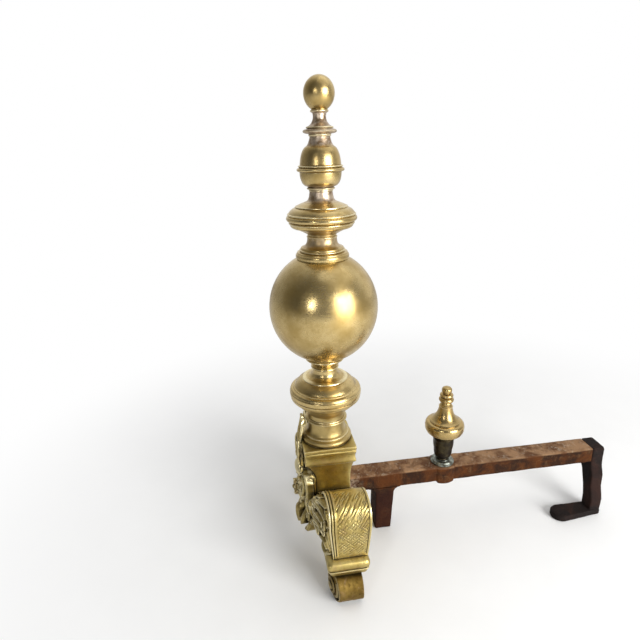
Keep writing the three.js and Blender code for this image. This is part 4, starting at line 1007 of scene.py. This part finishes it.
def band_section(y):
    """Relief across the band: reeds along the front edge, a swelling field, a thin rear rim."""
    for middle, half, lift in ((-17.0, 1.1, 1.5), (-14.0, 1.6, 1.9), (-10.6, 1.6, 1.5)):
        share = (y - middle) / half
        if abs(share) < 1:
            return lift * math.sqrt(1 - share * share) - 0.25
    if y < -9.0:
        return -0.7
    if y > 29.4:
        return 0.55 if y < 31.4 else 0.1
    if y > 28.6:
        return -0.25
    return max(0.9 * (1 - ((y - 9.5) / 21) ** 2), 0.0)


def scroll_leg():
    leg = Casting()
    outline, down, length = leg_outline()
    count = len(outline)
    normals = []
    for i in range(count):
        (x0, z0), (x1, z1) = outline[i - 1], outline[(i + 1) % count]
        run = Vector((x1 - x0, z1 - z0)).normalized()
        normals.append(Vector((run.y, -run.x)))
    across = [LEG_FRONT]
    while across[-1] < LEG_BACK:
        across.append(across[-1] + (0.42 if across[-1] < -9 else 0.62))
    across[-1] = LEG_BACK

    def depth_share(z):
        return min(max((z - ANKLE_TOP) / (SHOULDER_HEIGHT - ANKLE_TOP), 0), 1)

    def place(i, y, inset, offset):
        x, z = outline[i]
        x, z = x + normals[i].x * offset, z + normals[i].y * offset
        pull = Vector((POCKET_X - x, 0, POCKET_Z - z))
        point = Vector((x, 0, z)) + pull * inset
        narrow = ANKLE_FRONT / LEG_FRONT if y < 0 else ANKLE_BACK / LEG_BACK
        point.y = y * lerp(narrow, 1, depth_share(z))
        return point

    rings = [[place(i, y, share, 0) for i in range(count)]
             for y, share in ((-6.0, 0.96), (-6.0, 0.75), (-6.0, 0.5), (-6.5, 0.25), (-7.5, 0.16),
                              (-10.0, 0.11), (-13.0, 0.075), (-15.8, 0.05))]
    rings.append([place(i, LEG_FRONT, 0.03, -0.3) for i in range(count)])
    for y in across:
        ring = []
        for i in range(count):
            along = down[i]
            if along is None:
                ring.append(place(i, y, 0, 0))
                continue
            ends = smooth(0, 5, along) * smooth(0, 7, length - along)
            lift = band_section(y)
            if -8.5 < y < 28.2:
                lift -= chased_depth(along, y) + scale_depth(along, y, length)
            if 2.6 < along < 3.8:
                lift -= 0.5
            ring.append(place(i, y, 0, lift * (ends if lift > 0 else max(ends, 0.5))))
        rings.append(ring)
    rings += [[place(i, y, share, 0) for i in range(count)]
              for y, share in ((LEG_BACK, 0.05), (31.6, 0.2))]
    for share, y in ((0.94, 31.2), (0.88, 29.5), (0.86, 20), (0.84, 8), (0.8, 2.5), (0.7, 0.5),
                     (0.4, 0), (0.03, 0)):
        ring = []
        for x, z in outline:
            angle = math.atan2((z - POCKET_Z) / 20, (x - POCKET_X) / 30)
            ring.append(Vector((POCKET_X + 30 * share * math.cos(angle) / 0.94, y,
                                POCKET_Z + 20 * share * math.sin(angle) / 0.94)))
        rings.append(ring)
    leg.rings(rings)
    for points, rise, vein, lobes in (
            ([(29, -24, 76, 2.5), (42, -28, 86, 4.5), (58, -30, 98, 5.5), (76, -29, 108, 5.5),
              (92, -26, 112, 4.5), (104, -22, 106, 3), (104, -23, 97, 1)], 4.0, 1.5, 9),
            ([(31, -23, 69, 2), (46, -28, 77, 4), (62, -30, 86, 5), (80, -29, 95, 4.6),
              (92, -26, 97, 3.2), (97, -22, 90, 1)], 3.6, 1.4, 8),
            ([(33, -24, 63, 2), (49, -28, 67, 4), (65, -30, 74, 4.6), (80, -28, 82, 4.2),
              (92, -26, 84, 3), (97, -22, 78, 1)], 3.6, 1.4, 8),
            ([(36, -25, 57, 2), (52, -28, 60, 3.6), (68, -28, 65, 4), (84, -26, 70, 3.6),
              (96, -23, 70, 2.6), (102, -20, 63, 1)], 3.4, 1.3, 7),
            ([(50, -24, 92, 1.6), (57, -26, 101, 3), (66, -25, 110, 3), (78, -22, 117, 1.2)],
             2.6, 1.0, 4),
            ([(70, -25, 107, 1.6), (78, -26, 114, 3), (89, -24, 120, 3), (100, -20, 121, 1)],
             2.6, 1.0, 4),
            ([(96, -20, 116, 1.4), (103, -21, 117, 2.4), (109, -19, 111, 2.4), (111, -17, 102, 1)],
             2.2, 0.9, 3),
            ([(103, -18, 99, 1.4), (108, -19, 92, 2.6), (111, -18, 83, 2.4), (110, -16, 74, 1)],
             2.2, 0.9, 3),
            ([(99, -20, 86, 1.4), (105, -20, 79, 2.8), (109, -18, 70, 2.4), (108, -15, 62, 0.9)],
             2.2, 0.9, 3),
            ([(86, -22, 62, 1.4), (93, -24, 60, 2.6), (101, -22, 57, 2.4), (107, -17, 60, 0.9)],
             2.2, 0.9, 3)):
        blade(leg, points, -5.0, rise, vein, lobes, steps=11 * (len(points) - 1))
    for x, z, y, reach, turns, thickness, rise, start, hand in (
            (70, 100, -28, 5.0, 1.4, 1.5, 3.0, 0.4, 1), (84, 76, -25, 5.4, 1.4, 1.6, 3.4, 2.0, -1),
            (104, 101, -21, 6.5, 1.4, 1.8, 4.0, 1.3, -1),
            (97, 84, -20, 4.6, 1.3, 1.4, 3.4, 1.3, -1)):
        volute(leg, x, z, y, reach, turns, thickness, rise, start, hand)
    return leg


def ankle_moulding():
    ankle = Casting()
    profile = [(36.5, 5.0), (36.8, 3.8), (37.8, 2.8), (39.4, 2.2), (41.6, 1.8), (43.4, 1.2),
               (44.0, 0.2), (44.8, -0.3), (45.8, 0.0), (46.3, 0.9), (46.8, 0.7), (47.4, 0.0),
               (48.6, -0.8), (50.2, -1.3), (52.0, -1.4), (53.8, -1.1), (55.4, -0.4), (56.8, 0.8),
               (57.9, 2.4), (58.7, 4.4), (59.2, 6.4), (59.5, 8.6)]
    moulded_block(ankle, [(z, 90 + inset, 122 - inset, -20.2 + inset * 0.8, 29.6 - inset / 2, 5.0)
                          for z, inset in profile], corner=8, along=12, wobble=0.12, grain=8)
    return ankle


def foot_scroll():
    foot = Casting()
    radius, cx, cz = 18.6, 114.0, 18.3
    top, inner, outer = 36.5, -16.5, 115.2
    join = math.acos(inner / radius)
    flat = math.asin(cz / radius)
    turned = [lerp(join, math.pi + flat, i / 28) for i in range(29)]
    turned += [lerp(2 * math.pi - flat, 2 * math.pi + math.pi / 3, i / 53) for i in range(54)]
    outline = [(cx + inner, lerp(top, cz + radius * math.sin(join), i / 3)) for i in range(3)]
    outline += [(cx + radius * math.cos(a), cz + radius * math.sin(a)) for a in turned]
    for i in range(1, 5):
        outline.append((lerp(outline[-1][0] if i == 1 else cx + 9.3, outer, i / 4),
                        lerp(cz + radius * math.sin(math.pi / 3), top, i / 4)))
    outline += [(lerp(outer, cx + inner, i / 12), top) for i in range(1, 12)]

    def ring(y, share):
        points = []
        for x, z in outline:
            point = Vector((lerp(cx, x, share), y, lerp(cz, z, share)))
            if share == 1.0 and 0.2 < z < top - 0.2:
                away = Vector((x - cx, 0, z - cz)).normalized()
                point += away * noise.noise(Vector((x, y, z)) / 5) * 0.25
            points.append(point)
        return points

    rings = [ring(y, share) for y, share in (
        (-15.4, 0.03), (-15.2, 0.25), (-14.2, 0.5), (-12.6, 0.7), (-11.4, 0.81), (-10.8, 0.855),
        (-10.9, 0.875), (-12.6, 0.895), (-13.3, 0.92), (-13.4, 0.95), (-12.9, 0.98))]
    rings += [ring(lerp(-11.8, 19.8, i / 40), 1.0) for i in range(41)]
    rings += [ring(20.3, 0.98), ring(20.5, 0.93)] + [ring(20.5, s) for s in (0.7, 0.4, 0.03)]
    foot.rings(rings)
    volute(foot, cx, cz, -12.2, 13.4, 2.2, 1.9, 5.2, start=0.9, hand=-1, per_turn=36)
    dome(foot, cx, -18.8, cz, 3.8, 3.8, 2.2, -13.0, 22, 7)
    for point in foot.points:
        point.y += 0.2 * (point.x - cx) * min(max((6 - point.y) / 18, 0), 1)
    return foot


# ---------------------------------------------------------------- cartouche and crest
ROSETTE_HEIGHT = 79.0


def sided(side, points):
    """Points of an ornament's right half, or of its left one where side is -1."""
    return [(x * side, y, z, width) for x, y, z, width in points]


def shield_outline():
    top = 118.0
    right = bend((15, top), (30.5, top + 1), (30.5, top - 22), 30)
    right += bend((30.5, top - 22), (30.5, top - 56), (24, top - 56), 26)
    right += bend((24, top - 56), (29, top - 56), (29, top - 72), 16)
    right += bend((29, top - 72), (29, top - 91), (0, top - 100), 30)
    left = [(-x, z) for x, z in reversed(right[1:])]
    return right + [(0, top - 100)] + left + bend((-15, top), (0, top + 0.5), (15, top), 14)


def front_cartouche():
    work = Casting()
    outline = shield_outline()
    levels = [(-19.3, 0.03), (-19.3, 0.5), (-19.3, 0.9), (-19.9, 0.94), (-21.0, 0.985),
              (-22.4, 1.0), (-23.8, 0.99), (-24.5, 0.95), (-25.4, 0.945), (-26.2, 0.975),
              (-27.6, 0.985), (-29.0, 0.97), (-29.6, 0.945), (-29.0, 0.915), (-26.6, 0.89),
              (-27.0, 0.8), (-28.6, 0.62), (-29.8, 0.4), (-30.2, 0.2), (-30.3, 0.03)]
    work.rings([[Vector((x * share, y, lerp(74, z, share))) for x, z in outline]
                for y, share in levels])
    for side in (1, -1):
        scroll = Casting()
        volute(scroll, 0, 0, 0, 7.4, 1.7, 2.2, 3.4, start=2.4, hand=-1)
        dome(scroll, 0, -4.2, 0, 2.2, 2.2, 1.6, 0, 16, 5)
        work.add([Vector((side * (28.4 - point.y), point.x - 27.4, point.z + 107))
                  for point in scroll.points], scroll.faces)
        dome(work, side * 25.5, -31.5, 69, 8.5, 12.5, 5.5, -21, 30, 8)
        frame = [(12, -36, 113, 2.0), (21, -37, 114, 3.6), (29, -35, 107, 4.4), (31, -34, 95, 4.2),
                 (28, -34, 82, 4.0), (23, -35, 70, 3.8), (22, -34, 60, 3.0), (26, -32, 52, 1.6)]
        blade(work, sided(side, frame), -24, 2.4, 1.5, lobes=9, steps=80)
        inner = [(11, -36, 104, 1.4), (18, -38, 103, 2.8), (22, -37, 95, 3.2), (20, -38, 85, 3.0),
                 (17, -40, 75, 2.6), (14, -41, 67, 1.2)]
        blade(work, sided(side, inner), -26, 2.2, 1.3, lobes=5, steps=50)
        for x, z, y, reach, turns, thickness, rise, starts, hand in (
                (15, 68, -36.5, 5.4, 1.6, 1.6, 4.0, (1.0, 2.1), 1),
                (16.5, 117.5, -36, 5.6, 1.5, 1.7, 4.0, (2.0, 1.1), -1),
                (24, 47, -29.5, 6.6, 1.5, 2.1, 3.4, (1.2, 1.94), -1)):
            volute(work, x * side, z, y, reach, turns, thickness, rise, starts[side < 0],
                   hand * side)
        for points, rise, vein in (
                ([(20, -28, 64, 2), (27, -31, 66, 4), (33, -30, 62, 4), (37, -27, 54, 1.5)],
                 2.6, 1.0),
                ([(26, -30, 42, 2), (30, -33, 37, 4), (27, -36, 29, 4), (20, -36, 24, 1.2)],
                 3.0, 1.1),
                ([(12, -32, 52, 2), (16, -38, 44, 4.6), (16, -41, 34, 4.6), (12, -41, 25, 1.2)],
                 3.2, 1.2),
                ([(30, -27, 48, 2), (38, -31, 49, 4), (44, -30, 54, 3.4), (47, -27, 60, 1.2)],
                 2.6, 1.0)):
            blade(work, sided(side, points), -22, rise, vein)
    blade(work, [(0, -36, 58, 3), (0, -44, 48, 6.5), (0, -46, 38, 7), (0, -45, 28, 4.6),
                 (0, -43, 20, 1)], -24, 4.0, 1.4, lobes=3)
    petal = Casting()
    blade(petal, [(0, -41, 5, 3.2), (0, -42.4, 9, 5.2), (0, -40.6, 14, 6.2), (0, -39.6, 18, 5.2),
                  (0, -41.6, 21, 1.6)], -28, 3.4, 1.3, steps=14)
    fanned(work, petal, 8, math.pi / 8, math.pi / 4, 0, ROSETTE_HEIGHT)
    small = Casting()
    blade(small, [(0, -45, 2.5, 2.0), (0, -47, 5, 3.4), (0, -46.2, 8, 4.0), (0, -47, 11, 1.2)],
          -36, 2.4, 0.9, steps=10)
    fanned(work, small, 6, 0.0, math.pi / 3, 0, ROSETTE_HEIGHT)
    dome(work, 0, -43.0, ROSETTE_HEIGHT, 17, 19, 13, -27, 36, 9)
    dome(work, 0, -48.6, ROSETTE_HEIGHT, 3.6, 3.6, 3.2, -40, 18, 6)
    curl = [(-27.5, 98), (-29.5, 103), (-31, 107)]
    for i in range(30):
        angle = math.radians(lerp(-20, 330, i / 29))
        radius = lerp(7.4, 2.2, i / 29)
        curl.append((-36.3 - radius * math.cos(angle) * 0.95, 111.5 + radius * math.sin(angle)))
    places = list(enumerate(curl))
    rings = []
    for k in range(25):
        x = lerp(-15.5, 15.5, k / 24)
        taper = 1 - 0.35 * abs(x / 15.5) ** 3
        ring = []
        for thick, order in ((1.5 + 0.25 * math.cos(x * 1.2), places), (-1.5, places[::-1])):
            for i, (y, z) in order:
                (y0, z0), (y1, z1) = curl[max(i - 1, 0)], curl[min(i + 1, len(curl) - 1)]
                run = Vector((y1 - y0, z1 - z0)).normalized() * thick / 2
                ring.append(Vector((x, lerp(-34, y, taper) + run.y, lerp(108, z, taper) - run.x)))
        rings.append(ring)
    work.rings(rings)
    work.piece("cast_front_cartouche", LEAF_BRASS, "base_brass", ["front_cartouche"])


def crest_shell():
    """Scallop shell that stands before the plinth and leans back over the column's foot."""
    shell = Casting()
    across, up = 96, 40
    low, top = 119.0, 190.0
    front = []

    def rim(s):
        """Share of the shell's height that its edge reaches at s, of -1 to 1 across."""
        return lerp(0.62, 1.0, 1 - 0.55 * abs(s) ** 2.6)

    for j in range(up + 1):
        t = j / up
        row = []
        for k in range(across + 1):
            s = lerp(-1, 1, k / across)
            spread = 0.8 + 0.08 * math.sin(math.pi * min(t / 0.42, 1.0))
            spread -= 0.4 * smooth(0.34, 0.6, t) - 0.06 * math.sin(math.pi * smooth(0.6, 1.0, t))
            reach = t * rim(s)
            height = low + (top - low) * reach
            flute = math.cos(s * math.pi * 4.5)
            crisp = smooth(0.28, 0.7, t)
            height += crisp * flute * 1.5 * smooth(0.8, 1.0, t)
            y = lerp(-38.2, -39.2, smooth(0, 0.5, t))
            y += 6.2 * smooth(0.45, 1.0, reach) + 1.3 * s * s
            y -= crisp * flute * 0.6
            y += 1.0 * math.exp(-((t - 0.36) / 0.045) ** 2)
            row.append(Vector((s * 21.6 * spread, y, height)))
        front.append(row)
    shell.rings([row + [Vector((p.x * 0.97, p.y + 2.6, p.z - (1.0 if row is front[-1] else 0)))
                        for p in reversed(row)] for row in front])
    stay = box_tool((-12, 12), (-36.6, -34.0), (120.0, 136.0, 152.5))
    shell.add(stay.points, stay.faces)
    for k in range(7):
        s = lerp(-0.9, 0.9, k / 6)
        z = low + (top - low) * rim(s)
        dome(shell, s * 8.8, -34.2 + 1.3 * s * s, z - 1.0, 1.4, 1.4, 1.2, -31 + 1.3 * s * s, 12, 5)
    for side in (1, -1):
        tube(shell, sided(side, (
            (14.5, -38.6, 120, 1.2), (16.5, -39.2, 127, 1.5), (15.5, -39.6, 135, 1.5),
            (17.5, -39.4, 142, 1.4), (15.0, -39.2, 149, 1.3), (10.0, -38.4, 156, 1.0))), steps=48)
        volute(shell, side * 16.2, 122.6, -38.8, 3.6, 1.2, 1.3, 1.8, start=1.5, hand=-side)
    blade(shell, [(0, -39.4, 121, 3), (0, -41.4, 130, 6), (0, -41.8, 140, 5), (0, -41.0, 150, 2)],
          -37, 2.0, 1.0, lobes=2)
    shell.piece("cast_crest_shell", LEAF_BRASS, "base_brass", ["crest_shell"])


def cast_base():
    cast_plinth_and_block()
    for side in ("right", "left"):
        for name, make, finish, slot in (
                ("scroll_leg", scroll_leg, BASE_BRASS, "base_brass"),
                ("ankle_moulding", ankle_moulding, BASE_BRASS, "base_brass"),
                ("foot_scroll", foot_scroll, FOOT_BRASS, "foot_brass")):
            casting = make() if side == "right" else make().mirrored()
            casting.piece("cast_" + name + "_" + side, finish, slot, [name + "_" + side])
    front_cartouche()
    crest_shell()


cast_base()


# ---------------------------------------------------------------- forged iron
DENTS = ((17, 0.34), (5.5, 0.1428), (2.2, 0.0544))   # width and depth of three sizes of dent


def hammered(point):
    """How far the hammer and the rust have moved a point of the iron's skin."""
    return sum((noise.noise_vector(point / width) * depth for width, depth in DENTS), Vector())


def forge_bar():
    bar = Casting()
    rings = []
    steps = 235
    first, last = BAR_FRONT + 0.6, BAR_REAR - 0.6
    places = [BAR_FRONT, *(lerp(first, last, i / steps) for i in range(steps + 1)), BAR_REAR]
    for i, y in enumerate(places):
        gap = (y - LOG_STOP_Y) / 12.6
        swell = (1 - gap * gap) ** 0.4 if abs(gap) < 1 else 0.0
        top = BAR_HIGH - 0.5 * smooth(190.4, 194.4, y)
        half = BAR_HALF + 2.95 * swell
        low = BAR_LOW - 3.6 * swell
        ends = 0.6 if i in (0, len(places) - 1) else 0.0
        ring = rounded_ring(-half + ends, half - ends, low + ends, top - ends, 0, 1.9 - ends, 3, 12)
        ring = [Vector((p.x, y, p.y)) for p in ring]
        for point in ring:
            if ends == 0.0:
                move = hammered(point)
                if y > 388:
                    move *= 0.4
                if abs(gap) < 1.6 and point.z > top - 0.5:
                    move.z *= 0.3
                point += Vector((move.x, 0, min(move.z, 0.1) if point.z > top - 1 else move.z))
        rings.append(ring)
    bar.rings(capped(rings, ROUGH_END))
    bar.piece("forged_billet_bar", BAR_IRON, "forged_iron", ["billet_bar"])


def iron_block(casting, levels):
    """Stacks hammered levels of (z, x0, x1, y0, y1, corner radius) with rings every 2 mm."""
    fine = []
    for (z0, *a), (z1, *b) in zip(levels, levels[1:]):
        steps = max(1, round(abs(z1 - z0) / 2))
        fine += [(lerp(z0, z1, i / steps), *(lerp(p, q, i / steps) for p, q in zip(a, b)))
                 for i in range(steps)]
    fine.append(levels[-1])
    rings = [rounded_ring(x0, x1, y0, y1, z, r, 3, 8) for z, x0, x1, y0, y1, r in fine]
    for ring in rings:
        for point in ring:
            move = hammered(point)
            point += Vector((move.x, move.y, 0))
    casting.rings(capped(rings, ROUGH_END))


def forge_legs():
    stub = Casting()
    front, half, fillet = 65.5, BAR_HALF, 9.5
    levels = [(0.0, -half + 1, half - 1, front + 1, front + 21.5, 1.0),
              (1.0, -half, half, front, front + 22.5, 1.8)]
    for i in range(9):
        angle = math.pi / 2 * i / 8
        spread = fillet * (1 - math.cos(angle))
        z = BAR_LOW - fillet * (1 - math.sin(angle))
        levels.append((z, -half, half, front - spread, front + 26 + spread, 1.8))
    iron_block(stub, levels)
    stub.piece("forged_stub_leg", BAR_IRON, "forged_iron", ["stub_leg"])
    leg = Casting()
    iron_block(leg, [(9.0, 25.5, 44.5, 377.5, 394.5, 2.0), (22, 22.0, 41.4, 380.6, 398.2, 2.0),
                     (38, 12.8, 31.2, 384.4, 402.2, 2.0), (52, 1.5, 25.5, 388.4, 406.6, 2.0),
                     (62, -11.0, 17.0, 391.2, 410.0, 2.0), (66, -14.2, 15.2, 392, 411, 2.0),
                     (88, -BAR_HALF, BAR_HALF, 392, 411, 2.2), (91, -13.6, 13.6, 392.6, 410, 2.0)])
    leg.piece("forged_rear_leg", BLACK_IRON, "black_iron", ["rear_leg"])
    foot = Casting()
    plan = []
    toe_x, toe_y, toe_r = 37.6, 336.0, 13.0
    for i in range(31):
        angle = math.pi + math.pi * i / 30
        plan.append((toe_x + toe_r * math.cos(angle), toe_y + toe_r * math.sin(angle)))
    right, left = plan[-1], plan[0]
    plan += [(lerp(right[0], 44.5, i / 20), lerp(right[1], 393.6, i / 20)) for i in range(1, 21)]
    plan += [(lerp(44.0, 26.0, i / 7), 394.5) for i in range(8)]
    plan += [(lerp(25.5, left[0], i / 20), lerp(393.6, left[1], i / 20)) for i in range(20)]
    middle = (36, 365)
    rings = []
    for z, inset in ((0.0, 0.97), (0.0, 0.6), (0.0, 0.04), (0.3, 0.015), (1.6, 0.0), (4.5, 0.0),
                     (7.4, 0.0), (8.5, 0.02), (9.0, 0.05), (9.1, 0.3), (9.2, 0.6), (9.2, 0.97)):
        ring = []
        for x, y in plan:
            point = Vector((lerp(x, middle[0], inset), lerp(y, middle[1], inset), z))
            move = hammered(point)
            point += Vector((move.x, move.y, move.z if z > 0.5 else 0)) * 0.8
            ring.append(point)
        rings.append(ring)
    foot.rings(rings)
    foot.piece("forged_rear_foot", BLACK_IRON, "black_iron", ["rear_foot"])


forge_bar()
forge_legs()


# ---------------------------------------------------------------- iron parts kept from the CAD
for name in ("tie_rod", "tie_rod_washer", "tie_rod_nut", "log_stop_pin"):
    kept = bpy.data.objects[name]
    kept.data.materials.clear()
    kept.data.materials.append(BLACK_IRON)


# ---------------------------------------------------------------- floor, lamps and world
def pale_floor():
    finish = Finish("pale_floor")
    mottle = finish.noise(60, 4)
    across = finish.axis("X")
    along = finish.axis("Y")
    reach = (across * across + along * along) ** 0.5
    finish.shade(base_color=finish.mix((246, 246, 245), (240, 240, 239), mottle), roughness=0.6)
    glow = finish.node("ShaderNodeEmission", None, {"Color": (1, 1, 1, 1), "Strength": 1.0})
    path = finish.node("ShaderNodeLightPath", out="Is Camera Ray")
    fade = reach.between(0.22, 0.85) * path
    shaded = Value(finish, finish.principled.outputs[0])
    joined = finish.node("ShaderNodeMixShader", None, {0: fade, 1: shaded, 2: glow})
    finish.tree.links.new(joined.socket, finish.end.inputs["Surface"])
    mesh = bpy.data.meshes.new("floor")
    half = 6.0
    mesh.from_pydata([(-half, -half, 0), (half, -half, 0), (half, half, 0), (-half, half, 0)], [],
                     [(0, 1, 2, 3)])
    mesh.materials.append(finish.material)
    floor = linked("floor", mesh)


def lamp(name, place, aim, width, height, power):
    data = bpy.data.lights.new(name, "AREA")
    data.shape = "RECTANGLE"
    data.size = width
    data.size_y = height
    data.energy = power
    light = linked(name, data)
    light.location = place
    light.rotation_euler = (Vector(aim) - Vector(place)).to_track_quat("-Z", "Y").to_euler()


def studio_world():
    world = bpy.data.worlds.new("studio")
    bpy.context.scene.world = world
    world.use_nodes = True
    tree = world.node_tree
    tree.nodes.clear()
    nodes = wired(tree, {
        "bearing": "ShaderNodeTexCoord", "split": "ShaderNodeSeparateXYZ",
        "fall": "ShaderNodeMapRange", "dusk": "ShaderNodeMapRange", "both": "ShaderNodeMath",
        "path": "ShaderNodeLightPath", "pick": "ShaderNodeMath", "back": "ShaderNodeBackground",
        "end": "ShaderNodeOutputWorld"}, [
        ("bearing", "Generated", "split", 0), ("split", "X", "fall", "Value"),
        ("split", "Y", "dusk", "Value"), ("fall", 0, "both", 0), ("dusk", 0, "both", 1),
        ("both", 0, "pick", 0), ("path", "Is Camera Ray", "pick", 1),
        ("pick", 0, "back", "Strength"), ("back", 0, "end", "Surface")])
    for name, values in (("fall", (-0.5, 0.4, 1.0, 0.26)), ("dusk", (-0.9, 0.1, 0.34, 1.0))):
        nodes[name].interpolation_type = "SMOOTHSTEP"
        for entry, value in zip(("From Min", "From Max", "To Min", "To Max"), values):
            nodes[name].inputs[entry].default_value = value
    nodes["both"].operation = "MULTIPLY"
    nodes["pick"].operation = "MAXIMUM"
    nodes["back"].inputs["Color"].default_value = (1, 1, 1, 1)


pale_floor()
lamp("window", (1.61, 1.0, 0.81), (0, -0.17, 0.3), 1.2, 1.2, 52)
lamp("ceiling", (0.3, 0.6, 2.2), (0, 0, 0.2), 2.0, 2.0, 8)
lamp("fill", (1.51, -1.17, 0.9), (0, -0.17, 0.3), 0.22, 0.5, 4.5)
studio_world()
bpy.context.scene.view_settings.view_transform = "Standard"
